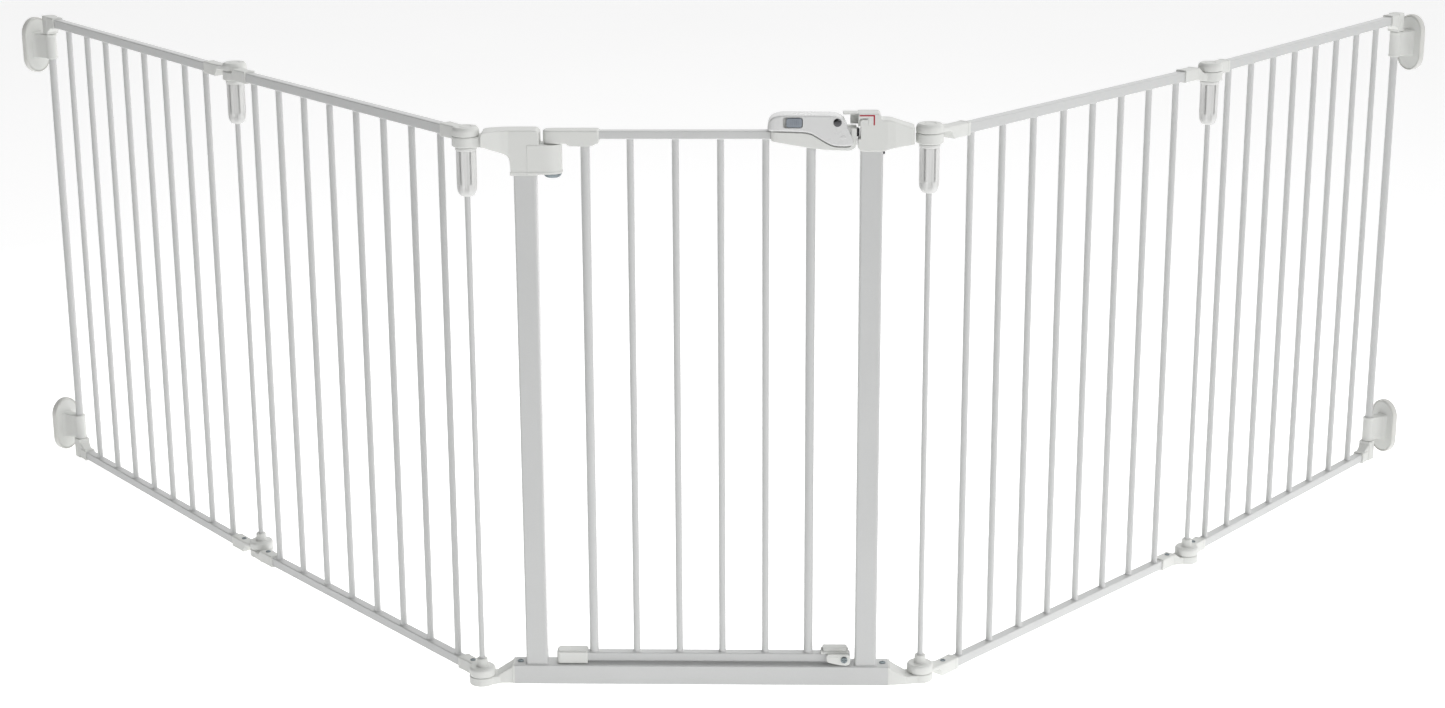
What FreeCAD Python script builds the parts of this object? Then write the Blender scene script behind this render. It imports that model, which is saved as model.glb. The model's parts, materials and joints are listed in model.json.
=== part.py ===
"""Free-standing folding safety gate: a walk-through gate section with two hinged panels on each side.

Frame: millimetres, +Z up.  The origin is on the floor, under the middle of the gate's threshold.
The gate section stands in the plane y = 0 and faces -Y; the side panels fold back towards +Y.
"""
import FreeCAD
import Part
import math
import os

Vector = FreeCAD.Vector
Z_AXIS = Vector(0, 0, 1)
Y_AXIS = Vector(0, 1, 0)
OUT = "parts"

# ---- driving dimensions -------------------------------------------------------------------
HINGE_SPAN = 584.0          # between the two hinge rods that carry the inner panels
ROD_OFFSET = 10.0           # each hinge rod stands this far to one side of its panel's plane
DOOR_PITCH = 57.0           # bar spacing in the door
PANEL_PITCH = 67.5          # bar spacing in the side panels
BAR_D = 9.0
FRAME_BAR_D = 12.0          # door uprights and the panels' end posts
TUBE_WALL = 1.2
PANEL_BARS = 8
DOOR_BARS = 4
END_GAP = 72.0              # along a panel, from the hinge rod to the first bar

TOP_RAIL_TOP = 748.5
PANEL_RAIL = 13.5           # square rails of the side panels
BOTTOM_RAIL_Z = 2.2
DOOR_RAIL_DEPTH = 14.0
DOOR_TOP_RAIL = (737.6, 748.0)
DOOR_BOTTOM_RAIL = (30.4, 42.4)

POST_X = 218.5              # centre of each gate post
POST_W = 28.6
POST_DEPTH = 25.0
POST_TOP = 737.0
THRESHOLD_HALF = 248.5
THRESHOLD_DEPTH = 30.0
THRESHOLD_H = 27.0

# ---- hinge stack: rod, knuckles, rings and lock knob -----------------------------------------
ROD_R = 3.75
RUN_GAP = 0.08              # radial running clearance on rods and pins
PART_GAP = 0.3              # gap between neighbouring pieces that turn past each other
KNUCKLE_R = 17.5
LOWER_KNUCKLE = (730.0, 743.2)
UPPER_RING = (743.5, 755.0)
FOOT = (0.0, 11.7)
FOOT_RING = (12.0, 24.0)
CONE_TOP = 36.0
KNOB = (666.0, 729.3)
KNOB_R = 13.6
KNOB_FLUTES = 6
SLEEVE_START = 28.0
SLEEVE_END = 60.0
SLEEVE_WALL = 2.2
SCREW_S = 37.0              # bottom sleeve's screw
RAIL_START = 32.0           # where a panel rail begins inside its sleeve

# ---- angles at rest, measured back from the gate's own line, in degrees ------------------------
LEFT_INNER_ANGLE = 49.0
LEFT_OUTER_ANGLE = 50.75
RIGHT_INNER_ANGLE = 48.5
RIGHT_OUTER_ANGLE = 51.5
WALL_ARM_ANGLE = 30.0

# ---- door -----------------------------------------------------------------------------------
PIN_X = -184.0              # the door swings about this upright line
PIN_R = 3.0
UPRIGHT_X = 2.5 * DOOR_PITCH
RIVET = (175.1, 760.4)
LATCH_DEPTH = 12.4
COVER_INNER = 12.9
COVER_OUTER = 15.5
STOP_SCREW = (190.0, 37.2)
INDICATOR_Y = (-15.0, -11.5)
TOP_RAIL_X = (-150.0, 152.0)
BOTTOM_RAIL_X = (-151.0, 198.0)
WINDOW = (107.0, 131.8, 753.2, 767.0)        # x and z limits of the slide's window

# ---- wall mounts -----------------------------------------------------------------------------
WALL_Z = ((680.5, 721.5), (33.0, 73.0))      # sleeves of the upper and lower brackets
CORNER_TOP = 32.5           # top of the bottom corner's post socket
PLATE_H = 90.0
PLATE_W = 52.0
PLATE_REACH = 30.0          # from the end post to the front of the wall plate
CUP_BACK = 39.0             # from the end post to the wall
SCREW_PITCH = 56.0
SCREW_HOLE_R = 2.4


# ---- small geometry helpers --------------------------------------------------------------------
def box(x0, x1, y0, y1, z0, z1):
    return Part.makeBox(x1 - x0, y1 - y0, z1 - z0, Vector(x0, y0, z0))


def disc(x, y, radius, z0, z1):
    return Part.makeCylinder(radius, z1 - z0, Vector(x, y, z0), Z_AXIS)


def rod_y(x, z, radius, y0, y1):
    return Part.makeCylinder(radius, y1 - y0, Vector(x, y0, z), Y_AXIS)


def cone(x, y, r0, r1, z0, z1):
    return Part.makeCone(r0, r1, z1 - z0, Vector(x, y, z0), Z_AXIS)


def prism(points, z0, z1):
    """A closed outline in plan, raised from z0 to z1."""
    wire = Part.makePolygon([Vector(x, y, z0) for x, y in points + points[:1]])
    return Part.Face(wire).extrude(Vector(0, 0, z1 - z0))


def plate_y(points, y0, y1):
    """A closed outline seen from the front, as (x, z) pairs, carried from y0 to y1."""
    wire = Part.makePolygon([Vector(x, y0, z) for x, z in points + points[:1]])
    return Part.Face(wire).extrude(Vector(0, y1 - y0, 0))


def fuse(first, *others):
    shape = first
    for other in others:
        shape = shape.fuse(other)
    return shape.removeSplitter()


def cut(shape, *tools):
    for tool in tools:
        shape = shape.cut(tool)
    return shape


def soften(shape, radius, wanted):
    """Round every edge whose two ends both pass the test."""
    edges = [e for e in shape.Edges if all(wanted(v.Point) for v in e.Vertexes)]
    return shape.makeFillet(radius, edges)


def round_uprights(shape, radius, wanted=None):
    """Round the upright edges, or only those whose place passes the test."""
    edges = []
    for edge in shape.Edges:
        ends = [v.Point for v in edge.Vertexes]
        upright = len(ends) == 2 and abs(ends[0].x - ends[1].x) < 1e-6 and abs(ends[0].y - ends[1].y) < 1e-6
        if upright and (wanted is None or wanted(ends[0])):
            edges.append(edge)
    return shape.makeFillet(radius, edges)


def round_tube(x, y, diameter, z0, z1, wall=TUBE_WALL):
    return disc(x, y, diameter / 2, z0, z1).cut(disc(x, y, diameter / 2 - wall, z0, z1))


def rail(x0, x1, depth, z0, z1, wall=TUBE_WALL):
    """A rectangular tube along X with rounded corners."""
    outer = box(x0, x1, -depth / 2, depth / 2, z0, z1)
    along = [e for e in outer.Edges if abs(e.Length - (x1 - x0)) < 1e-6]
    outer = outer.makeFillet(1.6, along)
    inner = box(x0, x1, -depth / 2 + wall, depth / 2 - wall, z0 + wall, z1 - wall)
    return outer.cut(inner)


def upright_tube(x0, x1, y0, y1, z0, z1, radius, wall):
    outer = round_uprights(box(x0, x1, y0, y1, z0, z1), radius)
    return outer.cut(box(x0 + wall, x1 - wall, y0 + wall, y1 - wall, z0, z1))


def stadium(width, height, x0, x1, zc):
    """An upright stadium plate in the YZ plane, from x0 to x1."""
    r = width / 2
    half = height / 2 - r
    mid = box(x0, x1, -r, r, zc - half, zc + half)
    caps = [Part.makeCylinder(r, x1 - x0, Vector(x0, 0, zc + s * half), Vector(1, 0, 0)) for s in (-1, 1)]
    return fuse(mid, *caps)


def group(shapes):
    return Part.makeCompound(shapes)


def turned(shape, angle, x=0.0, y=0.0):
    """A copy turned about the upright line through the local origin, then carried to (x, y)."""
    copy = shape.copy()
    copy.rotate(Vector(0, 0, 0), Z_AXIS, angle)
    copy.translate(Vector(x, y, 0))
    return copy


def save(name, shape):
    if not shape.isValid():
        raise ValueError(name + " is not a valid shape")
    shape.exportStep(os.path.join(OUT, name + ".step"))


# ---- places of the panels -----------------------------------------------------------------------
class Panel:
    """A side panel's own axes: s runs out along it from the near hinge, t is to its left in plan."""

    def __init__(self, near_rod, angle, near_side):
        self.angle = angle
        self.near_side = near_side
        self.along = Vector(math.cos(math.radians(angle)), math.sin(math.radians(angle)), 0)
        self.left = Vector(-self.along.y, self.along.x, 0)
        self.origin = near_rod - self.left * near_side

    def point(self, s, t):
        return self.origin + self.along * s + self.left * t

    def place(self, shape):
        return turned(shape, self.angle, self.origin.x, self.origin.y)


PANEL_SPAN = 2 * END_GAP + (PANEL_BARS - 1) * PANEL_PITCH
LEFT_ROD = Vector(-HINGE_SPAN / 2, -ROD_OFFSET, 0)
RIGHT_ROD = Vector(HINGE_SPAN / 2, ROD_OFFSET, 0)
LEFT_INNER = Panel(LEFT_ROD, 180 - LEFT_INNER_ANGLE, ROD_OFFSET)
RIGHT_INNER = Panel(RIGHT_ROD, RIGHT_INNER_ANGLE, ROD_OFFSET)
LEFT_OUTER = Panel(LEFT_INNER.point(PANEL_SPAN, -ROD_OFFSET), 180 - LEFT_OUTER_ANGLE, -ROD_OFFSET)
RIGHT_OUTER = Panel(RIGHT_INNER.point(PANEL_SPAN, -ROD_OFFSET), RIGHT_OUTER_ANGLE, -ROD_OFFSET)


# ---- panel pieces, in the panel's own axes ---------------------------------------------------------
def panel_rails(x0, x1):
    bottom = rail(x0, x1, PANEL_RAIL, BOTTOM_RAIL_Z, BOTTOM_RAIL_Z + PANEL_RAIL)
    top = rail(x0, x1, PANEL_RAIL, TOP_RAIL_TOP - PANEL_RAIL, TOP_RAIL_TOP)
    return group([top, bottom])


def panel_bars():
    z0 = BOTTOM_RAIL_Z + PANEL_RAIL
    z1 = TOP_RAIL_TOP - PANEL_RAIL
    return group([round_tube(END_GAP + i * PANEL_PITCH, 0, BAR_D, z0, z1, 1.0) for i in range(PANEL_BARS)])


def sleeve(z0, z1):
    """The moulded sleeve that slips over a rail's end; the rail starts at RAIL_START."""
    half = PANEL_RAIL / 2
    shell = box(SLEEVE_START, SLEEVE_END, -half - SLEEVE_WALL, half + SLEEVE_WALL,
                z0 - SLEEVE_WALL, z1 + SLEEVE_WALL)
    shell = soften(shell, 1.8, lambda p: p.z > z1)
    return shell.cut(box(RAIL_START, SLEEVE_END, -half, half, z0, z1))


def arm_plan(side, z0, z1):
    """The flat arm between a knuckle and the sleeve."""
    half = PANEL_RAIL / 2 + SLEEVE_WALL
    reach = KNUCKLE_R - 1.0
    outline = [(0, side - reach), (SLEEVE_START, -half), (SLEEVE_START, half), (0, side + reach)]
    return prism(outline, z0, z1)


def top_connector(side, upper):
    """Top rail end, arm and knuckle; the upper one carries the ring on top of its partner."""
    z0, z1 = UPPER_RING if upper else LOWER_KNUCKLE
    rail_z = (TOP_RAIL_TOP - PANEL_RAIL, TOP_RAIL_TOP)
    knuckle = disc(0, side, KNUCKLE_R, z0, z1)
    if upper:
        knuckle = soften(knuckle, 3.0, lambda p: p.z > z1 - 0.1)
        arm = arm_plan(side, z0, TOP_RAIL_TOP + SLEEVE_WALL)
        bore = disc(0, side, ROD_R + RUN_GAP, z0, z1 - 3.0)
    else:
        arm = arm_plan(side, z0 + 2.0, z1)
        bore = disc(0, side, ROD_R, z0, z1)
    return cut(fuse(knuckle, arm, sleeve(*rail_z)), bore)


def bottom_connector(side, upper):
    """Bottom rail end, arm and knuckle; the upper one has the ring and cone, the lower one the foot."""
    rail_z = (BOTTOM_RAIL_Z, BOTTOM_RAIL_Z + PANEL_RAIL)
    z0, z1 = FOOT_RING if upper else FOOT
    knuckle = disc(0, side, KNUCKLE_R, z0, z1)
    if upper:
        knuckle = soften(knuckle, 2.0, lambda p: p.z > z1 - 0.1)
        arm = arm_plan(side, z0, rail_z[1] + SLEEVE_WALL)
        collar = cone(0, side, 9.5, 6.6, z1, CONE_TOP)
        solid = fuse(knuckle, collar, arm, sleeve(*rail_z))
        bore = disc(0, side, ROD_R + RUN_GAP, z0, CONE_TOP)
    else:
        arm = arm_plan(side, z0, z1)
        solid = fuse(knuckle, arm, sleeve(*rail_z))
        bore = disc(0, side, ROD_R, z0 + 2.0, z1)
    screw = disc(SCREW_S, 0, 1.5, rail_z[1], rail_z[1] + SLEEVE_WALL)
    return cut(solid, bore, screw)


def rail_screw():
    """Self-tapping screw down through a bottom sleeve into the rail."""
    top = BOTTOM_RAIL_Z + PANEL_RAIL + SLEEVE_WALL
    head = cone(SCREW_S, 0, 3.4, 2.4, top, top + 1.3)
    shank = disc(SCREW_S, 0, 1.5, top - SLEEVE_WALL, top)
    return fuse(head, shank)


def far_end(shape):
    """The same piece for the panel's far end: turned half round about the panel's middle."""
    return turned(shape, 180, PANEL_SPAN, 0)


def hinge_rod(x, y):
    return disc(x, y, ROD_R, FOOT[0] + 2.0, UPPER_RING[1] - 3.5)


def lock_knob(x, y):
    """Fluted knob on the rod under the top knuckles."""
    z0, z1 = KNOB
    body = disc(x, y, KNOB_R, z0 + 6, z1)
    body = fuse(body, cone(x, y, KNOB_R - 4.5, KNOB_R, z0, z0 + 6))
    for i in range(KNOB_FLUTES):
        a = 2 * math.pi * (i + 0.5) / KNOB_FLUTES
        r = KNOB_R + 2.6
        flute = disc(x + r * math.cos(a), y + r * math.sin(a), 4.4, z0 + 4, z1 - 7)
        body = body.cut(flute)
    return body.cut(disc(x, y, ROD_R + RUN_GAP, z0, z1))


def inner_panel(name, panel):
    rail_end = PANEL_SPAN - RAIL_START
    save(name + "_rails", panel.place(panel_rails(RAIL_START, rail_end)))
    save(name + "_bars", panel.place(panel_bars()))
    tops = [top_connector(ROD_OFFSET, True), far_end(top_connector(ROD_OFFSET, False))]
    feet = [bottom_connector(ROD_OFFSET, True), far_end(bottom_connector(ROD_OFFSET, False))]
    save(name + "_top_connectors", panel.place(group(tops)))
    save(name + "_bottom_connectors", panel.place(group(feet)))
    save(name + "_screws", panel.place(group([rail_screw(), far_end(rail_screw())])))
    save(name + "_hinge_rod", panel.place(hinge_rod(PANEL_SPAN, -ROD_OFFSET)))


def end_cap():
    """Cap that joins the top rail to the end post: a sleeve for the rail and a socket for the post."""
    rail_sleeve = box(PANEL_SPAN - 32, PANEL_SPAN, -9, 9, TOP_RAIL_TOP - PANEL_RAIL - 2.2, TOP_RAIL_TOP + 2.2)
    socket = box(PANEL_SPAN - 10, PANEL_SPAN + 10, -10, 10, TOP_RAIL_TOP - 26.5, TOP_RAIL_TOP + 2.5)
    socket = soften(socket, 3.0, lambda p: p.x > PANEL_SPAN)
    return fuse(rail_sleeve, socket)


def end_corner():
    """Corner piece that joins the bottom rail to the end post, with a foot under the post."""
    rail_sleeve = box(PANEL_SPAN - 30, PANEL_SPAN, -9, 9, 0, BOTTOM_RAIL_Z + PANEL_RAIL + 2.2)
    socket = box(PANEL_SPAN - 10, PANEL_SPAN + 10, -10, 10, 0, CORNER_TOP)
    socket = soften(socket, 3.0, lambda p: p.x > PANEL_SPAN)
    return fuse(rail_sleeve, socket)


def outer_panel(name, panel):
    rail_z = (BOTTOM_RAIL_Z + PANEL_RAIL, TOP_RAIL_TOP - PANEL_RAIL)
    rails = panel_rails(RAIL_START, PANEL_SPAN - FRAME_BAR_D / 2)
    post = round_tube(PANEL_SPAN, 0, FRAME_BAR_D, BOTTOM_RAIL_Z, TOP_RAIL_TOP - 4)
    solid_rails = [box(0, PANEL_SPAN - FRAME_BAR_D / 2, -PANEL_RAIL / 2, PANEL_RAIL / 2, *z)
                   for z in ((BOTTOM_RAIL_Z, rail_z[0]), (rail_z[1], TOP_RAIL_TOP))]
    solid_post = disc(PANEL_SPAN, 0, FRAME_BAR_D / 2, BOTTOM_RAIL_Z, TOP_RAIL_TOP - 4)
    save(name + "_rails", panel.place(rails))
    save(name + "_bars", panel.place(panel_bars()))
    save(name + "_end_post", panel.place(post))
    save(name + "_hinge_connectors", panel.place(group([top_connector(-ROD_OFFSET, True),
                                                       bottom_connector(-ROD_OFFSET, True)])))
    fittings = [cut(piece, solid_post, *solid_rails) for piece in (end_cap(), end_corner())]
    save(name + "_end_fittings", panel.place(group(fittings)))
    save(name + "_screw", panel.place(rail_screw()))


def wall_bracket(z0, z1):
    """Sleeve on the end post, arm and inner plate; local +X points to the wall."""
    zc = (z0 + z1) / 2
    ring = disc(0, 0, 9.2, z0, z1)
    arm = box(0, PLATE_REACH, -7.5, 7.5, z0, z1)
    plate = stadium(PLATE_W - 5.0, PLATE_H - 5.0, PLATE_REACH, PLATE_REACH + 4.0, zc)
    body = fuse(ring, arm, plate)
    return body.cut(disc(0, 0, FRAME_BAR_D / 2 + RUN_GAP, z0, z1))


def wall_cup(z0, z1):
    """Dished cup screwed to the wall; the bracket's plate sits in it over the screws."""
    zc = (z0 + z1) / 2
    rim = stadium(PLATE_W, PLATE_H, PLATE_REACH - 0.5, CUP_BACK, zc)
    pocket = stadium(PLATE_W - 5.0, PLATE_H - 5.0, PLATE_REACH - 0.5, PLATE_REACH + 4.0, zc)
    cup = rim.cut(pocket)
    floor_x = PLATE_REACH + 4.0
    for side in (-1, 1):
        z = zc + side * SCREW_PITCH / 2
        hole = Part.makeCylinder(SCREW_HOLE_R, CUP_BACK - floor_x, Vector(floor_x, 0, z), Vector(1, 0, 0))
        seat = Part.makeCone(4.6, SCREW_HOLE_R, 2.2, Vector(floor_x, 0, z), Vector(1, 0, 0))
        cup = cut(cup, hole, seat)
    return cup


def wall_mounts(side, panel, arm_angle):
    post = panel.point(PANEL_SPAN, 0)
    for level, (z0, z1) in zip(("upper", "lower"), WALL_Z):
        save(side + "_" + level + "_wall_bracket", turned(wall_bracket(z0, z1), arm_angle, post.x, post.y))
        save(side + "_" + level + "_wall_cup", turned(wall_cup(z0, z1), arm_angle, post.x, post.y))


# ---- gate frame -------------------------------------------------------------------------------------
def threshold_tube():
    half = THRESHOLD_DEPTH / 2
    tube = rail(-THRESHOLD_HALF, THRESHOLD_HALF, THRESHOLD_DEPTH, 0, THRESHOLD_H, 1.5)
    pin_hole = disc(PIN_X, 0, PIN_R, THRESHOLD_H - 1.5, THRESHOLD_H)
    screws = [disc(s * (THRESHOLD_HALF - 7), 0, 1.5, THRESHOLD_H - 1.5, THRESHOLD_H) for s in (-1, 1)]
    return cut(tube, pin_hole, *screws)


def gate_post(x):
    return upright_tube(x - POST_W / 2, x + POST_W / 2, -POST_DEPTH / 2, POST_DEPTH / 2,
                        THRESHOLD_H, POST_TOP, 3.0, 1.5)


def post_hole(x):
    """The room that a gate post takes in a bracket."""
    return round_uprights(box(x - POST_W / 2, x + POST_W / 2, -POST_DEPTH / 2, POST_DEPTH / 2,
                              THRESHOLD_H, POST_TOP), 3.0)


def left_post_bracket():
    """Moulded bracket on the left post: knuckle arm, post sleeve and the block for the door's pin."""
    top = 750.4
    knuckle = disc(LEFT_ROD.x, LEFT_ROD.y, KNUCKLE_R, *LOWER_KNUCKLE)
    near = LEFT_ROD.x + 20.5
    arm_low = prism([(LEFT_ROD.x, LEFT_ROD.y - KNUCKLE_R + 1), (-236.5, -15), (-236.5, 15),
                     (near, 8.0), (LEFT_ROD.x, LEFT_ROD.y + KNUCKLE_R - 1)], LOWER_KNUCKLE[0], LOWER_KNUCKLE[1])
    front = [(near, 730.0), (-258.0, 730.0), (-246.0, 726.5), (-236.5, 720.0), (-236.5, 697.0),
             (-232.0, 692.5), (-204.0, 692.5), (-204.0, 731.7), (-199.5, 731.7), (-199.5, top), (near, top)]
    side_view = plate_y(front, -15, 15)
    taper = prism([(near, -28), (-236.5, -15), (-199.0, -15), (-199.0, 15), (-236.5, 15), (near, 8.5)],
                  688, 758)
    body = side_view.common(taper)
    block = fuse(box(-214.0, PIN_X, -13.4, 13.4, 694.0, 731.7), disc(PIN_X, 0, 13.4, 694.0, 731.7))
    body = fuse(body, arm_low, knuckle, block)
    rod_bore = disc(LEFT_ROD.x, LEFT_ROD.y, ROD_R, *LOWER_KNUCKLE)
    pin_bore = disc(PIN_X, 0, PIN_R, 688, 733)
    return cut(body, post_hole(-POST_X), rod_bore, pin_bore)


def indicator_outline():
    """The L-shaped strip seen from the front."""
    return [(202.5, 767.4), (219.4, 767.4), (219.4, 759.6), (221.8, 759.6), (221.8, 769.7), (202.5, 769.7)]


def lock_indicator():
    return plate_y(indicator_outline(), INDICATOR_Y[0] + 0.6, INDICATOR_Y[1])


def right_post_bracket():
    """Moulded bracket on the right post: keeper for the latch, post sleeve and knuckle arm."""
    far = RIGHT_ROD.x - 20.5
    left = 201.0
    front = [(left, 726.5), (204.5, 723.0), (232.0, 723.0), (248.0, 727.5), (far, 730.0), (far, 751.5),
             (258.0, 757.0), (244.0, 760.5), (229.5, 761.0), (229.5, 771.8), (left, 771.8)]
    side_view = plate_y(front, -15, 15)
    taper = prism([(left, -15), (236.5, -15), (far, -8.5), (far, 28), (236.5, 15), (left, 15)], 688, 778)
    body = side_view.common(taper)
    arm_low = prism([(RIGHT_ROD.x, RIGHT_ROD.y - KNUCKLE_R + 1), (far, -8.0), (236.5, -15), (236.5, 15),
                     (RIGHT_ROD.x, RIGHT_ROD.y + KNUCKLE_R - 1)], LOWER_KNUCKLE[0], LOWER_KNUCKLE[1])
    knuckle = disc(RIGHT_ROD.x, RIGHT_ROD.y, KNUCKLE_R, *LOWER_KNUCKLE)
    lip = box(182.0, left + 1, -8.0, 8.0, 769.3, 771.8)
    body = fuse(body, arm_low, knuckle, lip)
    keeper_slot = box(left, left + 3.4, -20, 20, 739.0, 755.0)
    strip_room = plate_y([(left, 767.4)] + indicator_outline()[1:5] + [(left, 769.7)], *INDICATOR_Y)
    rod_bore = disc(RIGHT_ROD.x, RIGHT_ROD.y, ROD_R, *LOWER_KNUCKLE)
    return cut(body, post_hole(POST_X), keeper_slot, strip_room, rod_bore)


def foot_connector():
    """Left foot of the gate: plug in the threshold's end, arm and floor knuckle."""
    inner = THRESHOLD_DEPTH / 2 - 1.5
    x_end = -THRESHOLD_HALF
    block = box(x_end - 20, x_end, -14, 14, 0, THRESHOLD_H - 0.5)
    block = soften(block, 2.0, lambda p: p.z > 20 and p.x < x_end - 1)
    plug = box(x_end, x_end + 20, -inner + 0.2, inner - 0.2, 1.7, THRESHOLD_H - 1.5)
    arm = prism([(LEFT_ROD.x, LEFT_ROD.y - KNUCKLE_R + 1), (x_end - 20, -14), (x_end - 20, 12),
                 (LEFT_ROD.x, LEFT_ROD.y + KNUCKLE_R - 1)], *FOOT)
    knuckle = disc(LEFT_ROD.x, LEFT_ROD.y, KNUCKLE_R, *FOOT)
    body = fuse(block, plug, arm, knuckle)
    rod_bore = disc(LEFT_ROD.x, LEFT_ROD.y, ROD_R, 2.0, FOOT[1])
    screw_bore = disc(x_end + 7, 0, 1.5, THRESHOLD_H - 8, THRESHOLD_H)
    return cut(body, rod_bore, screw_bore)


def frame_screw(side):
    """Screw through the threshold's top into the foot's plug."""
    x = side * (THRESHOLD_HALF - 7)
    head = cone(x, 0, 3.6, 2.6, THRESHOLD_H, THRESHOLD_H + 1.4)
    return fuse(head, disc(x, 0, 1.5, THRESHOLD_H - 7.5, THRESHOLD_H))


def hinge_pins():
    upper = fuse(disc(PIN_X, 0, PIN_R, 693.7, 744.0), disc(PIN_X, 0, 11.6, 690.0, 693.7),
                 cone(PIN_X, 0, 8.6, 11.6, 687.6, 690.0))
    lower = disc(PIN_X, 0, PIN_R, THRESHOLD_H - 1.5, 42.0)
    return group([upper, lower])


def gate_frame():
    save("threshold_tube", threshold_tube())
    save("gate_posts", group([gate_post(-POST_X), gate_post(POST_X)]))
    save("left_post_bracket", left_post_bracket())
    save("right_post_bracket", right_post_bracket())
    save("lock_indicator", lock_indicator())
    save("gate_foot_connectors", group([foot_connector(), turned(foot_connector(), 180)]))
    save("frame_screws", group([frame_screw(-1), frame_screw(1)]))
    save("door_hinge_pins", hinge_pins())
    save("gate_hinge_rods", group([hinge_rod(r.x, r.y) for r in (LEFT_ROD, RIGHT_ROD)]))


# ---- door --------------------------------------------------------------------------------------------
def solid_rail(x0, x1, z0, z1):
    return box(x0, x1, -DOOR_RAIL_DEPTH / 2, DOOR_RAIL_DEPTH / 2, z0, z1)


def door_hinge_bracket():
    """Arm over the pin block: turns on the upper pin and holds the top rail's end."""
    z0, z1 = 732.0, 749.6
    body = fuse(disc(PIN_X, 0, 12.0, z0, z1), box(PIN_X, -124.0, -12.0, 12.0, z0, z1))
    boot = plate_y([(-166.0, z0), (-162.0, 729.0), (-131.0, 729.0), (-124.0, 735.0), (-124.0, z0 + 5),
                    (-166.0, z0 + 5)], -12.0, 12.0)
    body = fuse(body, boot)
    pin_room = disc(PIN_X, 0, PIN_R + RUN_GAP, z0, 744.5)
    upright = disc(-UPRIGHT_X, 0, FRAME_BAR_D / 2, 728.0, DOOR_TOP_RAIL[0])
    return cut(body, pin_room, upright, solid_rail(TOP_RAIL_X[0], -124.0, *DOOR_TOP_RAIL))


def door_hinge_block():
    """Lower hinge block on the door's bottom rail."""
    block = box(-192.4, BOTTOM_RAIL_X[0], -11.0, 11.0, THRESHOLD_H + PART_GAP + 0.5, 46.0)
    block = round_uprights(block, 3.0, lambda p: p.x < -190)
    return block.cut(disc(PIN_X, 0, PIN_R + RUN_GAP, THRESHOLD_H, 42.5))


def latch_base():
    """Body of the latch on the door's top corner."""
    outline = [(91.5, 735.5), (127.5, 729.0), (158.8, 724.4), (190.0, 723.4), (196.0, 726.5), (198.0, 732.0),
               (198.0, 753.5), (184.0, 753.5), (184.0, 763.5), (178.0, 765.5), (104.0, 766.0),
               (94.5, 762.0), (91.5, 754.0)]
    body = plate_y(outline, -LATCH_DEPTH, LATCH_DEPTH)
    channel = box(160.0, 199.0, -5.0, 5.0, 740.6, 751.4)
    rivet_hole = rod_y(RIVET[0], RIVET[1], 3.0, -LATCH_DEPTH, LATCH_DEPTH)
    spring_room = rod_y(RIVET[0], RIVET[1], 4.2, 4.0, LATCH_DEPTH)
    top_rail = solid_rail(91.0, TOP_RAIL_X[1], *DOOR_TOP_RAIL)
    upright = disc(UPRIGHT_X, 0, FRAME_BAR_D / 2, 718.0, DOOR_TOP_RAIL[0])
    return cut(body, channel, rivet_hole, spring_room, top_rail, upright)


def handle_rivet():
    """Steel pivot of the handle, right through the latch."""
    x, z = RIVET
    shank = rod_y(x, z, 3.0, -COVER_OUTER - 0.2, COVER_OUTER + 0.2)
    heads = [rod_y(x, z, 4.8, -COVER_OUTER - 1.6, -COVER_OUTER - 0.2),
             rod_y(x, z, 4.8, COVER_OUTER + 0.2, COVER_OUTER + 1.6)]
    return fuse(shank, *heads)


def bottom_latch_housing():
    """Moulded cap over the bottom rail's latch end."""
    z0 = DOOR_BOTTOM_RAIL[1]
    housing = box(159.0, 196.2, -9.5, 9.5, z0, z0 + 8.8)
    return soften(housing, 2.0, lambda p: p.z > z0 + 1)


def stop_screw():
    x, z = STOP_SCREW
    front = -DOOR_RAIL_DEPTH / 2
    shank = rod_y(x, z, 2.0, front - 9.0, front)
    return fuse(shank, rod_y(x, z, 4.0, front - 10.6, front - 9.0))


def swivel_stop():
    """Flat stop that turns on the screw in front of the bottom rail."""
    x, z = STOP_SCREW
    back = -DOOR_RAIL_DEPTH / 2 - 0.2
    y0, y1 = back - 8.5, back - 3.2
    plate = plate_y([(166.4, 30.0), (168.2, 28.2), (x, 28.2), (x, 44.2), (168.2, 44.2), (166.4, 42.0)], y0, y1)
    end = rod_y(x, z, 9.0, y0, y1)
    boss = rod_y(x, z, 4.6, y1, back)
    return fuse(plate, end, boss).cut(rod_y(x, z, 2.0 + RUN_GAP, y0, back))


def door():
    z0, z1 = DOOR_BOTTOM_RAIL[1], DOOR_TOP_RAIL[0]
    save("door_top_rail", rail(*TOP_RAIL_X, DOOR_RAIL_DEPTH, *DOOR_TOP_RAIL))
    save("door_bottom_rail", rail(*BOTTOM_RAIL_X, DOOR_RAIL_DEPTH, *DOOR_BOTTOM_RAIL))
    save("door_uprights", group([round_tube(s * UPRIGHT_X, 0, FRAME_BAR_D, z0, z1) for s in (-1, 1)]))
    bars = [round_tube((i - 1.5) * DOOR_PITCH, 0, BAR_D, z0, z1, 1.0) for i in range(DOOR_BARS)]
    save("door_bars", group(bars))
    save("door_hinge_bracket", door_hinge_bracket())
    save("door_hinge_block", door_hinge_block())
    save("latch_base", latch_base())
    save("handle_rivet", handle_rivet())
    save("bottom_latch_housing", bottom_latch_housing())
    save("stop_screw", stop_screw())
    save("swivel_stop", swivel_stop())


# ---- handle ------------------------------------------------------------------------------------------

def cover_outline():
    return [(87.5, 749.0), (88.6, 760.5), (92.0, 765.5), (97.5, 768.5), (106.0, 769.9), (168.0, 769.4),
            (176.0, 768.2), (182.0, 765.3), (186.0, 759.5), (189.1, 750.8), (195.9, 735.9), (194.5, 731.8),
            (189.3, 730.0), (174.8, 729.8), (166.0, 732.0), (152.0, 740.5), (144.0, 745.5), (136.0, 747.8),
            (114.0, 748.6)]


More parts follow.
